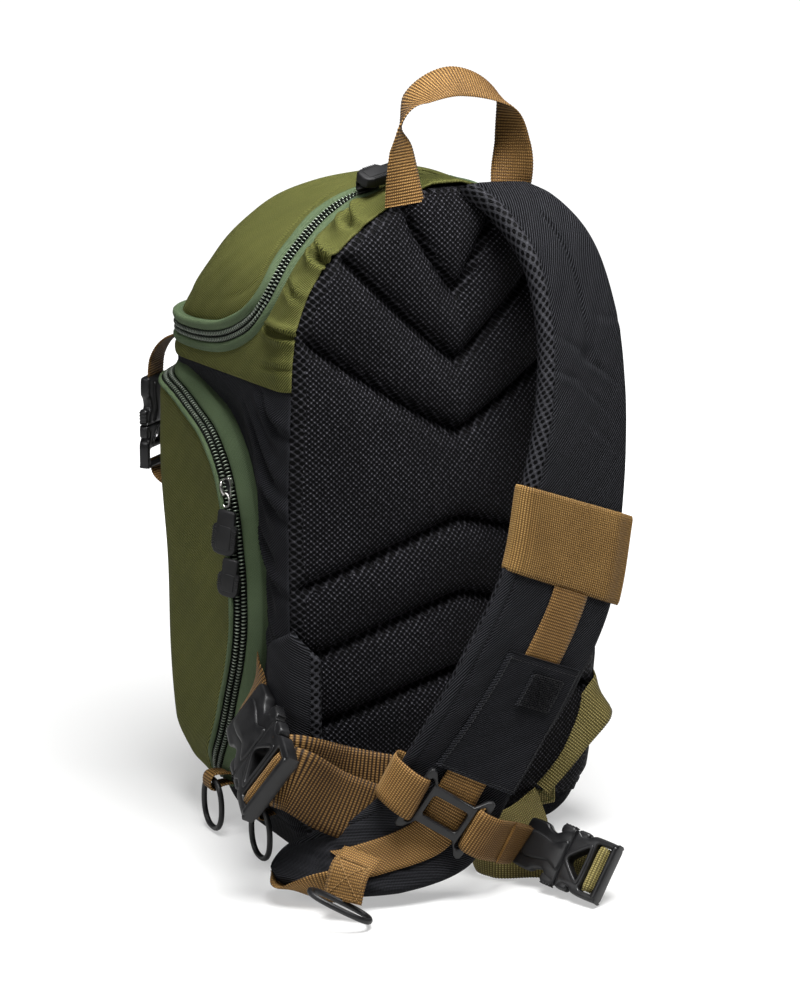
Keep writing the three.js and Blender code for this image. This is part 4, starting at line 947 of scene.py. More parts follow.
# rounded section of a pad; starts at the seam between its two cloths and goes round
def padSection(w, h, r, seam, crown):
    arc = np.linspace(0, np.pi / 2, 6)
    top = np.linspace(-w + seam, w - r, 64)
    right = [(w - r + r * math.sin(k), h - r + r * math.cos(k)) for k in arc[1:]]
    lowRight = [(w - r + r * math.cos(k), -h + r - r * math.sin(k)) for k in arc]
    low = [(k, -h) for k in np.linspace(w - r, -w + r, 16)[1:-1]]
    lowLeft = [(-w + r - r * math.sin(k), -h + r - r * math.cos(k)) for k in arc]
    left = [(-w + r - r * math.cos(k), h - r + r * math.sin(k)) for k in arc]
    inner = [(k, h) for k in np.linspace(-w + r, -w + max(seam, r + 0.5), 4)[1:-1]]
    section = [(k, h) for k in top] + right + lowRight + low + lowLeft + left + inner
    section = np.array(section)
    upper = section[:, 1] > 0
    section[:, 1] += np.where(upper, crown * (1 - (section[:, 0] / w) ** 2) - crown * 0.6, 0)
    return section, len(top) + len(right) + len(lowRight)


def buildStrap():
    t = np.linspace(0, 1, strap["rows"])
    centre, _, side, normal, width = stripFrames(strap["stations"], t, slanted=True)
    travelled = lengthAlong(centre)
    sections, maps = [], []
    h = strap["thick"] / 2
    for k in range(len(t)):
        seam = strap["meshOut"] + (strap["meshIn"] - strap["meshOut"]) * (1 - blendStep(t[k], 0.44, 0.56))
        seam = float(max(seam, strap["corner"] + 0.6))
        tip = max(t[k] - strap["tip"], 0) / (1 - strap["tip"])
        blunt = math.sqrt(max(1 - (0.96 * tip) ** 2, 0))
        thin = 0.3 + 0.7 * blunt
        seam = seam * thin
        w = max(width[k] / 2 * blunt, 0.62 * (strap["corner"] * thin + seam))
        section, twillCount = padSection(w, h * thin, strap["corner"] * thin, seam, strap["crown"] * blunt)
        a, n = section.T
        outer = n > 1
        first, last, offset = strap["dart"]
        fade = float(blendStep(t[k], first, first + 0.03) * (1 - blendStep(t[k], last - 0.05, last)))
        dip = strap["dartDeep"] * fade * bell(a - offset, 0.9) - 0.5 * fade * bell(a - offset - 4, 3)
        dip = dip + 2.2 * math.exp(-((t[k] - last) / 0.012) ** 2) * bell(a - offset, 4)
        fold = 0 * a
        for spot, sideways, slant, length, deep in strap["creases"]:
            u = (t[k] - spot) * travelled[-1]
            v = a - sideways
            run, off = v + slant * u, u - slant * v
            ridge = bell(off, 2.2) - 0.6 * bell(off - 4.5, 3.2)
            fold = fold - deep * np.exp(-(run / length * 1.6) ** 2) * ridge
        ripple = math.sin(travelled[k] / 3.4 + math.sin(travelled[k] / 17))
        pucker = 0.5 * bell(a + w - seam - 3, 5) * ripple
        n = n + np.where(outer, -dip + fold + pucker * 0.4, 0)
        n = n - np.where(outer, 0.7 * bell(a + w - seam, 1.1), 0)
        sections.append(centre[k] + side[k] * a[:, None] + normal[k] * n[:, None])
        walk = lengthAlong(section)
        maps.append(np.stack([walk - w, np.full(len(a), travelled[k])], -1))
    grid = np.array(sections)
    rows, columns = grid.shape[:2]
    faces = gridFaces(rows, columns, closed=True)
    column, row = np.arange(len(faces)) % columns, np.arange(len(faces)) // columns
    meshFace = (column >= twillCount) & ((row < strap["meshTo"] * rows) | (column < twillCount + 20))
    faces = capEnds(faces[:, ::-1], rows, columns)
    kinds = np.concatenate([meshFace.astype(int), [0, 0]])
    points = grid.reshape(-1, 3)
    points[:, 2] = np.maximum(points[:, 2], 0.4)
    piece = makePiece("strap_pad", points, faces, ["strapTwill", "edgeMesh"], "shoulder_strap",
                      np.array(maps).reshape(-1, 2), None, kinds)


buildStrap()
print("shoulder strap padded")


# webbing: tables of stations for each loose strap
webbing = {
    "grab_handle": ("tanWebbing", [
        (-31, -78.4, 406, 1, 0, 0.12, 26), (-32, -78.0, 420, 0.97, 0.2, 0.06, 25),
        (-32.5, -77, 438, 0.85, 0.5, 0, 25), (-32, -75.5, 452, 0.48, 0.86, -0.1, 25),
        (-22, -74, 466, 0.36, 0.8, 0.36, 25), (6, -73, 475, 0.25, 0.75, 0.55, 25),
        (36, -74, 463, 0, 0.85, 0.35, 25), (43, -75, 438, -0.45, 0.85, 0.1, 25), (41, -77, 407, -1, 0.05, 0, 25)]),
    "left_webbing_front": ("wideWebbing", [
        (-133, -108, 80, 0.4, -0.3, 0.85, 38), (-124, -117, 78, 0.45, 0, 0.89, 38),
        (-100, -118, 61, 0.45, 0.03, 0.89, 38), (-66, -126, 45, 0.4, 0.05, 0.9, 38)]),
    "left_webbing_rear": ("wideWebbing", [
        (-132, -104, 84, 0.4, -0.3, 0.85, 38), (-120, -111, 84, 0.42, 0, 0.9, 38), (-90, -109, 73, 0.35, 0, 0.93, 36),
        (-58, -127, 69, 0.4, -0.1, 0.9, 30)]),
    "left_anchor": ("wideWebbing", [
        (-106, -33, 117, 0.2, 0.1, 0.95, 36), (-114, -40, 112, 0.3, -0.2, 0.92, 37),
        (-122, -52, 103, 0.4, -0.42, 0.82, 38)]),
    "right_webbing": ("oliveWebbing", [
        (62, -86, 20, -0.2, 0.2, 0.95, 25), (40, -97, 15, -0.3, 0.3, 0.9, 25), (12, -107, 14, -0.3, 0.3, 0.9, 25),
        (-8, -119, 13.5, -0.3, 0.3, 0.9, 25), (-2, -135, 13.5, -0.3, 0.3, 0.9, 25),
        (22, -148, 13.5, -0.2, 0.2, 0.93, 25), (38, -166, 14, 0.3, 0.1, 0.9, 25),
        (43, -188, 15, 0.55, -0.1, 0.82, 25)]),
    "side_loop": ("oliveWebbing", [
        (60, -83, 34, 0.05, 0.4, 0.9, 20), (71, -85, 47, -0.1, 0.4, 0.9, 22), (86, -86, 64, -0.3, 0.35, 0.88, 24),
        (102, -85, 79, -0.3, 0.4, 0.86, 25), (109, -78, 84, -0.28, 0.42, 0.86, 25),
        (109, -62, 87, -0.1, 0.3, 0.95, 25), (107, -46, 93, -0.1, 0.3, 0.95, 25)]),
    "front_webbing": ("tanWebbing", [
        (-82, 97, 304, -0.8, -0.6, 0, 20), (-95, 117, 297, -0.8, -0.6, 0, 20), (-100, 127, 284, -0.8, -0.6, 0, 20),
        (-101, 130, 266, -0.8, -0.6, 0, 20)]),
    "front_webbing_lower": ("tanWebbing", [
        (-101, 130, 216, -0.8, -0.6, 0, 20), (-99, 126, 206, -0.8, -0.6, 0, 20), (-88, 106, 196, -0.8, -0.6, 0, 20)]),
    "strap_end_wrap": ("tanWebbing", [
        (-126, -95, 12, -0.75, -0.5, 0.3, 10), (-129, -107, 9, -0.78, -0.5, 0.25, 15),
        (-122.5, -119.5, 10.5, -0.6, -0.42, 0.65, 20), (-114, -132, 14, -0.3, -0.15, 0.93, 22),
        (-98, -143, 18, -0.1, 0, 0.98, 24)]),
    "ring_tab": ("tanWebbing", [
        (-92, -141, 35, 0.47, -0.87, -0.18, 26), (-104, -147, 28, 0.47, -0.87, -0.18, 26),
        (-111, -151, 12, 0.47, -0.87, -0.18, 26)]),
    "side_tab": ("oliveWebbing", [
        (53, -80.6, 27, 0, 0, 1, 18), (64, -80.8, 27, 0, 0, 1, 18), (75, -80.4, 27, 0, 0, 1, 18)]),
}
slideSpot = 0.808  # share of the strap's length
# webbing round the slide's side bars: to the side of the strap, height over the middle of its padding
crossing = {
    "left": [(-24, -8.6), (-38, -5), (-40, 6), (-32, 14.5), (-25, 17.3), (-20, 17.0), (-17.2, 14),
             (-17.2, 11), (-22, 10)],
    "right": [(22, 10), (17.2, 11), (17.2, 14), (20, 17.0), (25, 17.2), (31, 15)],
    "run": [(-5, -158, 32, 0.3, -0.15, 0.9, 27), (11, -147, 24, 0.6, -0.1, 0.78, 26)],  # stations past the strap
    "width": 28, "hemFrom": 0.84, "hemLift": 1.9,
}


def slideFrame():
    parts = stripFrames(strap["stations"], np.array([slideSpot]), slanted=True)
    return [part[0] for part in parts]


def buildWebbing():
    for node, (material, rows) in webbing.items():
        ribbon(node + "_woven", rows, material, node, rib=looks[material][2]["rib"])
    centre, tangent, side, normal, _ = slideFrame()
    left, right = ([(*(centre + side * a + normal * n), *(-tangent), crossing["width"]) for a, n in crossing[hand]]
                   for hand in ("left", "right"))
    right += crossing["run"]
    ribbon("cross_webbing_left_woven", left, "tanWebbing", "cross_webbing")
    ribbon("cross_webbing_right_woven", right, "tanWebbing", None)
    ribbon("cross_webbing_hem_woven", right, "tanWebbing", None, first=crossing["hemFrom"], lift=crossing["hemLift"])


buildWebbing()
print("webbing woven,", len(webbing) + 3)

# layers on the outer face of the strap: from, to, shift, width, thickness, lift over the padding
strapLayers = {
    "strap_webbing_upper": (0.535, 0.615, 5, 25, 1.7, 0.8),
    "strap_webbing_lower": (0.762, 0.935, 2, 26, 1.7, 1.1),
    "strap_pocket": (0.6, 0.765, 7, 52, 4.0, 0.2),
    "hook_patch": (0.612, 0.655, 13, 24, 1.4, 4.4),
}


def layOnStrap(node, material, ribs=True, columns=9, wobble=0.0, rise=0.0):
    first, last, shift, width, thick, lift = strapLayers[node]
    t, spots = evenSteps(strap["stations"], ribbing["step"] if ribs else 2.0, first, last)
    centre, _, side, normal, _ = stripFrames(strap["stations"], t, slanted=True)
    lifts = strap["thick"] / 2 + lift + thick / 2 + rise * bell(t - slideSpot, 0.04)
    weaveStrip(node + "_sewn", centre, side, normal, np.full(len(t), float(width)), spots, thick, material, node,
               shift=shift, lift=lifts[:, None], ribs=ribs, columns=columns, wobble=wobble)


layOnStrap("strap_webbing_upper", "tanWebbing", wobble=0.8)
layOnStrap("strap_webbing_lower", "tanWebbing", rise=1.8)
layOnStrap("strap_pocket", "blackCloth", ribs=False, columns=27, wobble=0.5)
layOnStrap("hook_patch", "blackCloth", ribs=False, columns=13)

# elastic band round the strap, slack on its outer side
elastic = {"from": 0.455, "to": 0.535, "slack": 7.0, "thick": 1.8, "rib": 1.5, "step": 0.375, "columns": 26}


def buildElastic():
    t = np.linspace(elastic["from"], elastic["to"], elastic["columns"])
    centre, tangent, side, normal, width = stripFrames(strap["stations"], t, slanted=True)
    w = float(width.mean()) / 2
    h = strap["thick"] / 2 + 0.9
    loose = w + elastic["slack"]
    corner = np.linspace(0, np.pi / 2, 12)
    outline = [(-w - 0.8 + 6 - 6 * math.cos(k), h - 6 + 6 * math.sin(k)) for k in corner]
    outline += [(a, h + 0.5 - 5.2 * float(blendStep(a, w - 10, loose))) for a in np.linspace(-w + 8, loose - 1, 40)]
    outline += [(loose, 0.6), (loose, -0.6)]
    outline += [(a, -h + 4.5 * float(blendStep(a, w - 8, loose))) for a in np.linspace(loose - 1, -w + 6, 36)]
    outline += [(-w - 0.8 + 6 - 6 * math.sin(k), -h + 6 - 6 * math.cos(k)) for k in corner]
    outline = np.array(outline + outline[:1])
    travelled = lengthAlong(outline)
    count = int(travelled[-1] / elastic["step"])
    spots = np.linspace(0, travelled[-1], count, endpoint=False)
    a, n = (np.interp(spots, travelled, outline[:, k]) for k in (0, 1))
    out = unit(np.stack([np.roll(n, 1) - np.roll(n, -1), np.roll(a, -1) - np.roll(a, 1)], -1))
    if np.mean(out[:, 0] * a) < 0:
        out = -out
    rib = 0.24 * (0.5 + 0.5 * np.cos(2 * np.pi * spots / elastic["rib"]))

    def layer(offset, trim):
        rows = []
        for k in range(len(t)):
            shift = offset * (0.4 if k in (0, len(t) - 1) else 1.0)
            sideways, outward = (a + out[:, 0] * shift)[:, None], (n + out[:, 1] * shift)[:, None]
            serrated = (trim[k] * np.cos(2 * np.pi * spots / elastic["rib"]))[:, None]
            rows.append(centre[k] + side[k] * sideways + normal[k] * outward + tangent[k] * serrated)
        return np.array(rows)
    trim = np.zeros(len(t))
    trim[0], trim[-1] = -0.3, 0.3
    outerLayer = layer(elastic["thick"] / 2 + rib, trim)
    innerLayer = layer(-elastic["thick"] / 2 + 0 * rib, trim)
    grid = np.concatenate([outerLayer, innerLayer[::-1]], axis=0)
    grid = np.concatenate([grid, grid[:1]], axis=0)
    faces = gridFaces(len(grid), count, closed=True)
    points = grid[:-1].reshape(-1, 3)
    faces = faces % len(points)
    along = np.linalg.norm(centre - centre[0], axis=1)
    along = np.concatenate([along, along[::-1]])
    uv = np.stack([np.repeat(spots[None], len(along), 0), np.repeat(along[:, None], count, 1)], -1)
    piece = makePiece("elastic_band_woven", points, faces[:, ::-1], ["tanElastic"], "elastic_band",
                      uv.reshape(-1, 2))


buildElastic()
print("strap layers sewn on")


# zip chains: rows of teeth along the seam line on the body
zipper = {
    # the bed is the half width of the tape under the coil, painted near-black as shade
    "pitch": 2.3, "seat": -0.2, "half": 4.2, "paintedShadeBed": 4.3, "settle": 40,
    "tapeThick": 0.9, "pathPasses": 14, "normalPasses": 20,
    # out from the seam, half as wide along it, height
    "tooth": [(0.3, 0.35, 1.0), (0.8, 0.55, 1.9), (1.9, 0.62, 2.3), (3.0, 0.55, 1.9), (3.8, 0.3, 0.7)],
}


def seamPath(field, keep):
    values = field(shellPoints)
    links, spots = {}, {}
    for face in shellFaces:
        hits = []
        for a, b in zip(face, face[1:] + face[:1]):
            if (values[a] < 0) != (values[b] < 0):
                key = (min(a, b), max(a, b))
                share = values[key[0]] / (values[key[0]] - values[key[1]])
                spots[key] = np.concatenate([shellPoints[key[0]] * (1 - share) + shellPoints[key[1]] * share,
                                             shellNormals[key[0]] * (1 - share) + shellNormals[key[1]] * share])
                hits.append(key)
        if len(hits) == 2 and all(keep(spots[key][:3]) for key in hits):
            links.setdefault(hits[0], []).append(hits[1])
            links.setdefault(hits[1], []).append(hits[0])
    ends = [key for key, near in links.items() if len(near) == 1]
    ends.sort(key=lambda key: spots[key][0])
    walk, seen = [ends[0]], {ends[0]}
    while True:
        onward = [key for key in links[walk[-1]] if key not in seen]
        if not onward:
            break
        walk.append(onward[0])
        seen.add(onward[0])
    path = np.array([spots[key] for key in walk])
    travelled = lengthAlong(path[:, :3])
    even = np.linspace(0, travelled[-1], int(travelled[-1] / 1.0))
    path = np.stack([np.interp(even, travelled, path[:, k]) for k in range(6)], -1)
    for _ in range(zipper["pathPasses"]):
        path[1:-1] = (path[:-2] + path[1:-1] * 2 + path[2:]) / 4
    return path[:, :3], unit(path[:, 3:]), even


# zip tapes: across the seam from outside to inside, and height over the cloth; lean lifts the inner side
tapes = {
    "lid_zip_tape": {"lean": 0.3, "rows": [
        (-12.5, -2.5), (-9.4, -1.4), (-8.7, 0.2), (-7.8, 1.1), (-6.6, 1.4), (-5.4, 1.1), (-4.6, 0.4), (-4.2, -0.3),
        (0, -0.4), (4.2, -0.3), (4.6, 0.4), (5.4, 1.1), (6.6, 1.4), (7.8, 1.1), (8.7, 0.2), (9.4, -1.4),
        (12.5, -2.5)]},
    "pocket_zip_tape": {"lean": 0.55, "rows": [
        (-19.5, -2.5), (-15.8, -1.4), (-15.0, 0.3), (-13.8, 0.9), (-11.5, 1.2), (-8.5, 1.3), (-6.2, 1.1), (-4.9, 0.5),
        (-4.2, -0.3), (0, -0.4), (3.6, -0.2), (4.0, 0.6), (4.7, 1.0), (5.4, 0.6), (5.9, -1.4), (9, -2.5)]},
}


def zipFrames(line, place, normals, travelled):
    for _ in range(zipper["normalPasses"]):
        normals[1:-1] = unit(normals[:-2] + normals[1:-1] * 2 + normals[2:])
    tangent = unit(np.gradient(place, axis=0))
    inward = unit(np.cross(normals, tangent))
    probe = place + inward * 2
    if np.mean(seamDistance(line, probe[:, 1], probe[:, 2])[0]) < 0:
        inward = -inward
    return place, normals, tangent, inward, travelled


def buildTape(node, place, normals, tangent, inward, travelled):
    offset, height = np.array(tapes[node]["rows"]).T
    room = np.full(len(place), 99.0)
    if node.startswith("pocket"):
        room = np.maximum(bandHeight(place[:, 1]) - body["frontStrip"] - place[:, 2] + 1.5, 5)
    reach = np.maximum(offset[None], -room[:, None])
    ends = blendStep(np.minimum(travelled, travelled[-1] - travelled), 0, zipper["settle"])
    lean = ends[:, None] * (tapes[node]["lean"] * np.maximum(offset + zipper["half"], 0) * (height > -1.2))[None]
    ripple = 0.18 * np.sin(travelled / 5.3)[:, None] * (np.abs(offset) > 4.5)[None] * (height > 0)[None]
    lifted = height[None] + lean + ripple
    grid = place[:, None] + inward[:, None] * reach[..., None] + normals[:, None] * lifted[..., None]
    rows, columns = grid.shape[:2]
    uv = np.stack([np.repeat(travelled[:, None], columns, 1), np.repeat(offset[None], rows, 0)], -1)
    faces = gridFaces(rows, columns)
    if np.sum(np.cross(tangent, inward) * normals) < 0:
        faces = faces[:, ::-1]
    # painted shade: the tape under the coil takes the near-black bed finish
    paintedShadeBed = (np.abs(offset[:-1]) < zipper["paintedShadeBed"]) & (np.abs(offset[1:]) < zipper["paintedShadeBed"])
    piece = makePiece(node + "_sewn", grid.reshape(-1, 3), faces, ["zipTape", "zipBed"], node, uv.reshape(-1, 2),
                      None, np.tile(paintedShadeBed.astype(int), rows - 1))
    wall = piece.modifiers.new("wall", "SOLIDIFY")
    wall.thickness = zipper["tapeThick"] * mm
    wall.offset = -1


def buildTeeth(name, node, tape, place, normals, tangent, inward, travelled):
    profile = np.array([(-1, 0), (-0.85, 0.7), (-0.45, 1), (0.45, 1), (0.85, 0.7), (1, 0)])
    tooth, around = zipper["tooth"], len(profile)
    spots = np.arange(0.5, travelled[-1] / zipper["pitch"] * 2 - 1) * zipper["pitch"] / 2
    along, out, across, base = (np.stack([np.interp(spots, travelled, field[:, c]) for c in range(3)], -1)
                                for field in (tangent, normals, inward, place))
    lean = tapes[tape]["lean"] * blendStep(np.minimum(spots, travelled[-1] - spots), 0, zipper["settle"])[:, None]
    base = base + out * lean * zipper["half"]
    across, out = unit(across + out * lean), unit(out - across * lean)
    handed = np.sign(np.sum(np.cross(out, along) * across))
    points, faces, kinds = [], [], []
    for k in range(len(spots)):
        flip = 1 if k % 2 else -1
        start = len(points)
        for reach, wide, tall in tooth:
            for u, v in profile * (wide, tall):
                spot = base[k] + along[k] * (u + 0.08 * reach) + across[k] * flip * reach
                points.append(spot + out[k] * (v + zipper["seat"]))
        turned = flip * handed > 0
        for ring in range(len(tooth) - 1):
            for c in range(around - 1):
                a = start + ring * around + c
                quad = [a, a + 1, a + around + 1, a + around]
                faces.append(quad if turned else quad[::-1])
                # painted highlight: the top faces along the middle of each tooth take the bright crown finish
                kinds.append(int(c == 2 and 0 < ring < 3))
        for first in (start, start + (len(tooth) - 1) * around):
            cap = [first + c for c in range(around)]
            faces.append(cap[::-1] if turned == (first == start) else cap)
            kinds.append(0)
    makePiece(name, points, faces, ["zipCoil", "zipCrown"], node, faceMaterial=kinds)


lidPath = seamPath(lambda p: seamDistance(lidLine, p[:, 1], p[:, 2])[0],
                   lambda p: p[2] > 300 and not (abs(p[0]) < body["hingeHalf"] + 1 and p[2] > 380 and p[1] < 20))
pocketPath = seamPath(lambda p: seamDistance(pocketLine, p[:, 1], p[:, 2])[0],
                      lambda p: body["baseTop"] + 1 < p[2] < 296 and p[1] > -60)
for zipName, line, path in (("lid", lidLine, lidPath), ("pocket", pocketLine, pocketPath)):
    frames = zipFrames(line, *path)
    buildTape(zipName + "_zip_tape", *frames)
    buildTeeth(zipName + "_zip_teeth", zipName + "_zip_coil", zipName + "_zip_tape", *frames)
print("zips", round(lidPath[2][-1]), "and", round(pocketPath[2][-1]), "mm long")


# moulded plates: rounded outline with holes, in a local frame of along, across and out
def roundLine(points, steps=5):
    points = np.asarray(points, float)
    loop = len(points)
    made = []
    for i in range(loop):
        p0, p1, p2, p3 = (points[(i + k - 1) % loop] for k in range(4))
        for w in np.linspace(0, 1, steps, endpoint=False):
            made.append(hermite(p1, p2, (p2 - p0) / 2 * 0.7, (p3 - p1) / 2 * 0.7, w))
    return np.array(made)


def roundBox(u0, u1, v0, v1, corner, steps=5):
    made = []
    for cu, cv, start in ((u1 - corner, v1 - corner, 0), (u0 + corner, v1 - corner, 90),
                          (u0 + corner, v0 + corner, 180), (u1 - corner, v0 + corner, 270)):
        for k in range(steps + 1):
            a = math.radians(start + 90 * k / steps)
            made.append((cu + corner * math.cos(a), cv + corner * math.sin(a)))
    return np.array(made)


def plateShape(outline, holes, thick, edge, lift=0.0):
    curve = bpy.data.curves.new("plate", "CURVE")
    curve.dimensions = "2D"
    curve.fill_mode = "BOTH"
    curve.extrude = max(thick / 2 - edge, 0.01)
    curve.bevel_depth = edge
    curve.bevel_resolution = 2
    curve.offset = -edge
    for loop in [outline, *holes]:
        spline = curve.splines.new("POLY")
        spline.points.add(len(loop) - 1)
        spline.use_cyclic_u = True
        for spot, (u, v) in zip(spline.points, loop):
            spot.co = (u, v, 0, 1)
    holder = bpy.data.objects.new("plate", curve)
    bpy.context.scene.collection.objects.link(holder)
    bpy.context.view_layer.update()
    mesh = bpy.data.meshes.new_from_object(holder.evaluated_get(bpy.context.evaluated_depsgraph_get()))
    bm = bmesh.new()
    bm.from_mesh(mesh)
    bmesh.ops.remove_doubles(bm, verts=bm.verts, dist=0.02)
    bmesh.ops.recalc_face_normals(bm, faces=bm.faces)
    bm.verts.index_update()
    points = np.array([v.co for v in bm.verts]) + [0, 0, lift]
    faces = [[v.index for v in face.verts] for face in bm.faces]
    bm.free()
    bpy.data.meshes.remove(mesh)
    bpy.data.objects.remove(holder)
    bpy.data.curves.remove(curve)
    return points, faces


def joinShapes(shapes):
    points, faces = [], []
    for spots, polygons in shapes:
        faces += [[i + len(points) for i in face] for face in polygons]
        points += list(spots)
    return np.array(points), faces


def localFrame(along, across):
    u = unit(np.array(along, float))
    v = np.array(across, float)
    v = unit(v - u * (u @ v))
    return np.stack([u, v, np.cross(u, v)])


def setPiece(name, shapes, centre, axes, material, node=None, sharp=40):
    points, faces = joinShapes(shapes)
    piece = makePiece(name, points @ axes + np.array(centre, float), faces, [material], node)
    piece.data.set_sharp_from_angle(angle=math.radians(sharp))


# tube along a closed or open path, in the local frame
def tubeShape(path, radius, closed, sides=12):
    path = np.asarray(path, float)
    tangent = unit(np.roll(path, -1, 0) - np.roll(path, 1, 0)) if closed else unit(np.gradient(path, axis=0))
    guide = np.array([0, 0, 1.0])
    first = unit(np.cross(tangent, guide + 1e-3))
    second = np.cross(tangent, first)
    turn = np.linspace(0, 2 * np.pi, sides, endpoint=False)
    cosine, sine = np.cos(turn)[None, :, None], np.sin(turn)[None, :, None]
    rings = path[:, None] + radius * (cosine * first[:, None] + sine * second[:, None])
    rows = len(path)
    points = rings.reshape(-1, 3)
    if closed:
        faces = gridFaces(rows + 1, sides, closed=True) % len(points)
        return points, [list(f) for f in faces]
    return points, capEnds(gridFaces(rows, sides, closed=True), rows, sides)


def ovalPath(wide, tall, steps=56, power=2.0):
    a = np.linspace(0, 2 * np.pi, steps, endpoint=False)
    x, y = (np.sign(c) * np.abs(c) ** (2 / power) for c in (np.cos(a), np.sin(a)))
    return np.stack([wide * x, tall * y, 0 * a], -1)


# side-release buckles: outlines as shares of length and width
buckleShape = {
    "socket": [(-0.5, 0.33), (-0.46, 0.41), (-0.31, 0.42), (-0.25, 0.35), (-0.17, 0.32), (-0.1, 0.40), (-0.02, 0.44),
               (0.02, 0.44)],
    "spine": [(-0.44, 0.20), (-0.30, 0.22), (-0.14, 0.17), (0.0, 0.26)],
    "plug": [(0.025, 0.44), (0.10, 0.42), (0.17, 0.43), (0.24, 0.5), (0.47, 0.5), (0.5, 0.45)],
    "window": [(0.07, 0.05), (0.20, 0.25), (0.235, 0.25)],
    "windowRim": [(0.035, 0.07), (0.19, 0.31), (0.262, 0.31)],
    "ladder": (0.285, 0.435, 0.40),
    "lobe": (-0.155, 0.0, 0.34, 0.515), "shoulder": (0.03, 0.17, 0.36, 0.51),
}
buckles = {  # webbing width, centre, along, across, cloth of the fold
    "left": (38, (-133, -87, 90), (-0.25, -0.9, -0.35), (0.4, -0.42, 0.82), "tanWebbing"),
    "right": (25, (28, -173, 21), (0.37, -0.92, -0.1), (0.63, -0.1, 0.76), "oliveWebbing"),
    "front": (20, (-101, 130.5, 241), (0, 0, -1), (-0.8, -0.6, 0), None),
}


def mirrorLine(rows, length, across):
    low = [(u * length, -v * across) for u, v in rows]
    return low + [(u, -v) for u, v in low[::-1]]


def buildBuckle(name, wide, centre, along, across, foldCloth):
    length, width, thick = wide * 1.05 + 38, wide + 12, 7 + wide * 0.12
    axes = localFrame(along, across)

    def line(key, steps=5):
        return roundLine(mirrorLine(buckleShape[key], length, width), steps)
    socket = [plateShape(line("socket"), [], thick * 0.74, 1.7), plateShape(line("spine"), [], thick * 0.98, 1.6)]
    u0, u1, v0, v1 = buckleShape["lobe"]
    s0, s1, t0, t1 = buckleShape["shoulder"]
    plug = []
    for flip in (1, -1):
        low, high = sorted((flip * v0 * width, flip * v1 * width))
        socket.append(plateShape(roundBox(u0 * length, u1 * length, low, high, 0.07 * width), [], thick * 0.62, 1.8))
        for k in range(4):
            u, v = (u0 + 0.03 + 0.035 * k) * length, flip * v1 * width
            socket.append(plateShape(roundBox(u - 0.5, u + 0.5, v - 0.6, v + 0.35, 0.4, 2), [], thick * 0.5, 0.3))
        low, high = sorted((flip * t0 * width, flip * t1 * width))
        plug.append(plateShape(roundBox(s0 * length, s1 * length, low, high, 0.06 * width), [], thick * 0.66, 1.7))
    l0, l1, lv = buckleShape["ladder"]
    ladder = roundBox(l0 * length, l1 * length, -lv * width, lv * width, 1.4, 3)
    window = line("window", 3)
    plug.append(plateShape(line("plug"), [window, ladder], thick * 0.74, 1.3))
    plug.append(plateShape(line("windowRim", 4), [window], thick * 0.9, 0.7))
    bar = roundBox((l1 + 0.005) * length, 0.5 * length, -0.47 * width, 0.47 * width, 0.03 * length)
    plug.append(plateShape(bar, [], thick * 0.92, 1.6))
    setPiece(name + "_socket_moulded", socket, centre, axes, "blackPlastic", name + "_buckle_socket")
    setPiece(name + "_plug_moulded", plug, centre, axes, "blackPlastic", name + "_buckle_plug")
    if foldCloth:
        stations = []
        for share, lift in ((0.04, -0.30), (0.2, 0.16), (0.5, 0.36), (0.8, 0.16), (0.96, -0.30)):
            u = (l0 + (l1 - l0) * share) * length
            spot = np.array([u, 0, thick * lift]) @ axes + np.array(centre, float)
            stations.append((*spot, *axes[1], 2 * lv * width - 1.2))
        ribbon(name + "_fold_woven", stations, foldCloth, name + "_webbing_fold")


for name, row in buckles.items():
    buildBuckle(name, *row)
print("buckles moulded,", len(buckles))


# ladder slide over the crossing webbings
slide = {
    "lift": 13.9, "thick": 3.8, "window": (12, 7.2),
    # one quarter of the outline, and of the slot beside an arm: across the strap, along it
    "outline": [(23, 17.5), (22.4, 20), (20.5, 21), (17.8, 19.6), (12.8, 12.4)],
    "slot": [(15.3, 14.0), (16, 14.8), (18.6, 15.6), (19.3, 14.8)],
}


def buildSlide():
    centre, tangent, side, normal, _ = slideFrame()
    axes = localFrame(side, -tangent)
    spot = centre + normal * slide["lift"]
    quarter = slide["outline"]
    upper = quarter + [(-u, v) for u, v in quarter[::-1]]
    outline = np.array(upper + [(u, -v) for u, v in upper[::-1]])
    wide, tall = slide["window"]
    arm = np.array(slide["slot"] + [(u, -v) for u, v in slide["slot"][::-1]])
    holes = [roundBox(-wide, wide, -tall, tall, 2.2), arm, arm * (-1, 1)]
    shapes = [plateShape(outline, holes, slide["thick"], 0.9)]
    setPiece("slide_moulded", shapes, spot, axes, "blackPlastic", "adjuster_slide")


buildSlide()

# oval rings on the lower left, and the ring at the end of the strap
rings = {"wire": 1.8, "wide": 13, "tall": 16, "height": 18.4, "loop": 12,
         "spots": {"front": (-116, 18, -100), "back": (-112, -43, -101)}}
strapRing = {"centre": (-116.5, -159, 13), "along": (0.777, -0.436, -0.459), "across": (0.468, 0.88, -0.143),
             "wide": 19.5, "tall": 10}


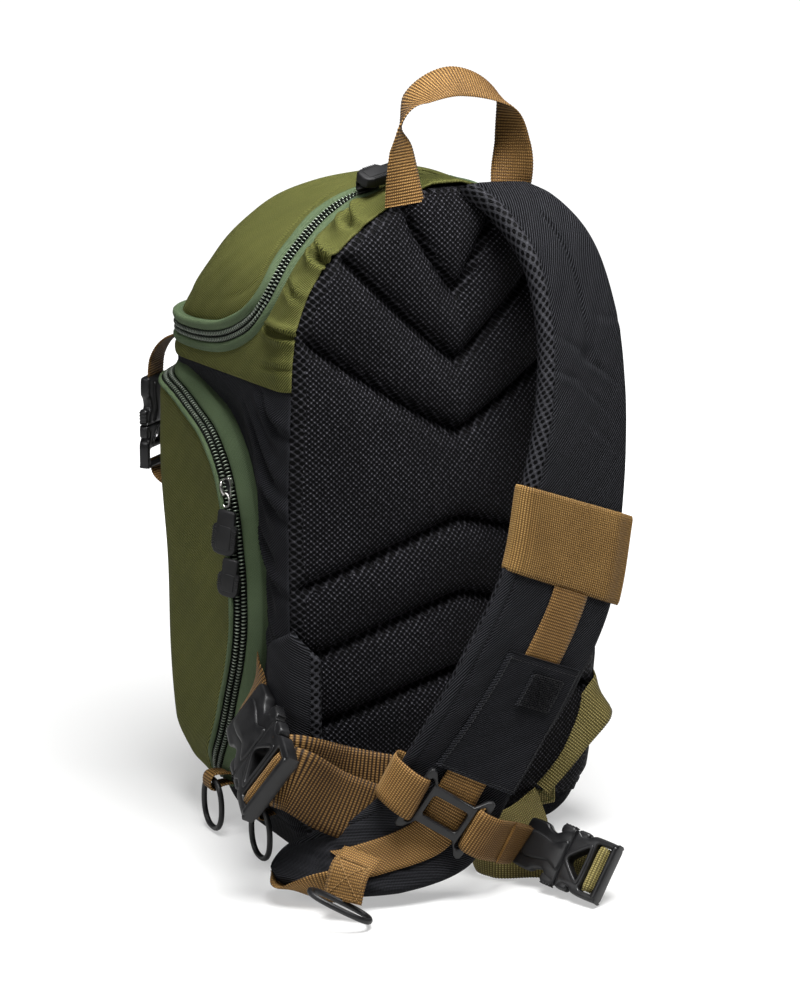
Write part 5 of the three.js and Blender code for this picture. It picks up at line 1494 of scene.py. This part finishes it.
def buildRings():
    for name, (x, y, seat) in rings["spots"].items():
        axes = localFrame((0, 1, 0), (0, 0, 1))
        shape = tubeShape(ovalPath(rings["wide"], rings["tall"], power=2.3), rings["wire"], True)
        spot = (x, y, rings["height"])
        setPiece("ring_" + name + "_moulded", [shape], spot, axes, "blackPlastic", "ring_" + name, 60)
        top = rings["height"] + rings["tall"]
        loop = [(seat + 1.5, y, top + 2.2), (x - 1, y, top + 4.2), (x - 3.6, y, top + 1.5), (x - 3.2, y, top - 4.6),
                (x + 0.4, y, top - 6.0), (x + 3.6, y, top - 4.0), (seat + 1.5, y, top - 3.4)]
        rows = [(*place, 0, 1, 0, rings["loop"]) for place in loop]
        ribbon("ring_loop_" + name + "_woven", rows, "tanWebbing", "ring_loop_" + name, thick=1.5)
    axes = localFrame(strapRing["along"], strapRing["across"])
    shape = tubeShape(ovalPath(strapRing["wide"], strapRing["tall"], power=2.6), rings["wire"], True)
    setPiece("strap_ring_moulded", [shape], strapRing["centre"], axes, "blackPlastic", "strap_ring", 60)


buildRings()
print("slide and rings moulded")

# rubber pulls: centre, along, across, length, width, thickness
pulls = {
    "lid_pull": ((-32, -47, 419), (-0.95, -0.2, -0.14), (-0.2, 0.85, 0.35), 27, 13, 6.5),
    "pocket_pull_upper": ((-119.6, -14.4, 203), (-0.09, 0.07, -1), (0.52, -0.85, 0), 28, 17, 3.4),
    "pocket_pull_lower": ((-119.2, -18.4, 175.6), (-0.09, 0.07, -1), (0.52, -0.85, 0), 24, 15, 3.4),
}
pullRib = {"pitch": 1.5, "half": 0.35, "from": 11.5, "spare": 16}
# zip sliders: centre, along, across, metal
sliders = {
    "lid_slider": ((-36, -39, 412.6), (0.75, -0.5, 0.3), (0.3, 0.8, 0.2), "darkMetal"),
    "pocket_slider": ((-115.0, -5.5, 228), (0.1, -0.35, -1), (0.55, -0.8, 0.28), "sliderMetal"),
}
sliderShape = {
    "shield": [(-6.2, -3.4), (-5.2, -4.8), (-1, -4.9), (3, -3.6), (5.8, -3.2), (6.4, -2)],  # one half
    "arch": [(-4.6, 0, 1.2), (-4.4, 0, 2.8), (-2.4, 0, 3.9), (1.4, 0, 3.9), (3.4, 0, 2.9), (3.8, 0, 1.2)],
    "link": (4.2, 2.7), "linkAt": [7.0, 0, 2.9], "linkTilt": 0.16,
    "plates": [(1, 1.8, 0.6, 0), (0.94, 1.4, 0.5, -2.6)],  # share of the shield, thickness, edge, height
    "face": (0.84, 2.3, 0.4, 0),
}


def buildPulls():
    for node, (centre, along, across, length, width, thick) in pulls.items():
        axes = localFrame(along, across)
        half = length / 2
        neck = width * 0.36
        outline = np.array([
            (-half, -neck * 0.8), (-half + 1.2, -neck), (-half + 8.5, -neck), (-half + 10, -width / 2),
            (half - 4, -width / 2), (half - 1, -width * 0.38), (half, -width * 0.18)])
        outline = np.vstack([outline, outline[::-1] * (1, -1)])
        shapes = [plateShape(outline, [], thick, 1.1),
                  plateShape(roundBox(-half + 9.5, half - 3.5, -width * 0.3, width * 0.3, 1.2), [], thick + 0.9, 0.5)]
        for k in range(int((length - pullRib["spare"]) / pullRib["pitch"])):
            u = -half + pullRib["from"] + pullRib["pitch"] * k
            for flip in (1, -1):
                v = sorted((flip * width * 0.33, flip * (width / 2 + 0.15)))
                rib = roundBox(u - pullRib["half"], u + pullRib["half"], *v, 0.3, 2)
                shapes.append(plateShape(rib, [], thick + 0.6, 0.25))
        setPiece(node + "_moulded", shapes, centre, axes, "pullRubber", node)


def buildSliders():
    half = sliderShape["shield"]
    shield = np.array(half + [(u, -v) for u, v in half[::-1]])
    arch = throughPoints(np.array(sliderShape["arch"]), np.linspace(0, 1, 24))
    tilt = np.array([[1, 0, sliderShape["linkTilt"]], [0, 1, 0], [0, 0, 1]])
    link = ovalPath(*sliderShape["link"], 36) @ tilt + sliderShape["linkAt"]

    def shieldPlate(share, thick, edge, height):
        return plateShape(roundLine(shield * share, 3), [], thick, edge, height)
    for node, (centre, along, across, metal) in sliders.items():
        axes = localFrame(along, across)
        if axes[2] @ np.array([centre[0], centre[1], max(centre[2] - 300, 0)]) < 0:  # faces out of the bag
            axes = localFrame(along, -np.array(across))
        shapes = [shieldPlate(*row) for row in sliderShape["plates"]]
        shapes += [tubeShape(arch, 1.0, False), tubeShape(link, 0.75, True)]
        setPiece(node + "_cast", shapes, centre, axes, metal, node)
        setPiece(node + "_face", [shieldPlate(*sliderShape["face"])], centre, axes, "darkMetal")


buildPulls()
buildSliders()
print("pulls and sliders set")

# padded flap at the lower left of the back panel
wing = {
    "stations": [(-106, -52, 106, 0, 0, 1, 56), (-112, -66, 106, 0, 0, 1, 84), (-109, -84, 106, 0, 0, 1, 104),
                 (-95, -93, 106, 0, 0, 1, 70)],
    "thick": 8, "corner": 3.4, "rows": 70, "hem": 0.86, "crown": 1.0,
}


def buildWing():
    t = np.linspace(0, 1, wing["rows"])
    centre, _, side, normal, width = stripFrames(wing["stations"], t)
    travelled = lengthAlong(centre)
    sections, maps = [], []
    for k in range(len(t)):
        thin = 1 - 0.35 * float(blendStep(t[k], 0.9, 1.0)) ** 2
        section, _ = padSection(width[k] / 2, wing["thick"] / 2 * thin, wing["corner"] * thin,
                                wing["corner"] + 0.8, wing["crown"])
        a, n = section.T
        dent = 0.8 * math.exp(-((t[k] - wing["hem"]) / 0.02) ** 2) + 0.5 * np.sin(a / 9 + 5 * t[k]) * t[k]
        n = n - np.where(n > 1, dent, 0)
        sections.append(centre[k] + side[k] * a[:, None] + normal[k] * n[:, None])
        maps.append(np.stack([a, np.full(len(a), travelled[k])], -1))
    grid = np.array(sections)
    rows, columns = grid.shape[:2]
    faces = gridFaces(rows, columns, closed=True)
    kinds = np.concatenate([(np.arange(len(faces)) // columns > wing["hem"] * rows).astype(int), [0, 1]])
    faces = capEnds(faces[:, ::-1], rows, columns)
    piece = makePiece("wing_pad", grid.reshape(-1, 3), faces, ["strapTwill", "edgeMesh"], "wing_left",
                      np.array(maps).reshape(-1, 2), None, kinds)


buildWing()
print("wing padded")

# sewing thread. On the strap: from, to, sideways at each end, height over its padding
strapSewing = [(0.604, 0.761, -17, -17, 4.35), (0.604, 0.761, 31, 31, 4.35), (0.761, 0.761, -17, 31, 4.35),
               (0.606, 0.606, -17, 31, 4.35), (0.614, 0.653, 2.6, 2.6, 5.95), (0.614, 0.653, 23.4, 23.4, 5.95),
               (0.614, 0.614, 2.6, 23.4, 5.95), (0.653, 0.653, 2.6, 23.4, 5.95)]
# crossed boxes on webbing: from, to, half as wide, thread
boxes = {"ring_tab": (0.3, 0.95, 10.5, "tanThread"), "side_tab": (0.08, 0.92, 7, "oliveThread")}
thread = {"pitch": 2.9, "long": 2.1, "radius": 0.32, "overWebbing": 1.05}
pile = {"rows": 15, "inset": 0.004, "half": 8.7, "pitch": 1.45, "radius": 0.34}  # hooks of the fastener square


def stitchLine(path, out):
    travelled = lengthAlong(path)
    share, lift = np.linspace(-0.5, 0.5, 5), np.array([-0.8, 0.3, 0.6, 0.3, -0.8])
    shapes = []
    for middle in np.arange(thread["pitch"] / 2, travelled[-1], thread["pitch"]):
        spots = np.clip(middle + share * thread["long"], 0, travelled[-1])
        line = np.stack([np.interp(spots, travelled, path[:, c]) for c in range(3)], -1)
        up = unit(np.array([np.interp(middle, travelled, out[:, c]) for c in range(3)]))
        shapes.append(tubeShape(line + up * (lift * thread["radius"])[:, None], thread["radius"], False, 6))
    return shapes


def onStrip(rows, first, last, left, right, lift, slanted=False):
    t = np.linspace(first, last, 40)
    centre, _, side, normal, _ = stripFrames(rows, t, slanted=slanted)
    return centre + side * np.linspace(left, right, 40)[:, None] + normal * lift, normal * np.sign(lift)


def buildSewing():
    world = (0, 0, 0), np.eye(3)
    shapes = []
    for first, last, left, right, height in strapSewing:
        shapes += stitchLine(*onStrip(strap["stations"], first, last, left, right, strap["thick"] / 2 + height, True))
    setPiece("strap_stitches", shapes, *world, "blackThread")
    for node, (first, last, half, finish) in boxes.items():
        shapes = []
        for lift in (thread["overWebbing"], -thread["overWebbing"]):
            for run in ((first, last, half, half), (first, last, -half, -half), (first, first, -half, half),
                        (last, last, -half, half), (first, last, -half, half), (first, last, half, -half)):
                shapes += stitchLine(*onStrip(webbing[node][1], *run, lift))
        setPiece(node + "_stitches", shapes, *world, finish)


def buildPile():
    first, last, shift, _, thick, lift = strapLayers["hook_patch"]
    height = strap["thick"] / 2 + lift + thick - 0.2
    shapes = []
    for k, t in enumerate(np.linspace(first + pile["inset"], last - pile["inset"], pile["rows"])):
        centre, _, side, normal, _ = (part[0] for part in stripFrames(strap["stations"], np.array([t]), slanted=True))
        for a in np.arange(-pile["half"], pile["half"] + 0.1, pile["pitch"]):
            foot = centre + side * (shift + a + 0.4 * math.sin(7 * k + 3 * a)) + normal * height
            bend = side * math.sin(11 * k + 5 * a) * 0.6
            hook = np.array([foot, foot + normal * 0.7 + bend * 0.4, foot + normal * 1.1 + bend])
            shapes.append(tubeShape(hook, pile["radius"], False, 5))
    setPiece("hook_pile", shapes, (0, 0, 0), np.eye(3), "hookPile")


buildSewing()
buildPile()
print("stitches sewn")
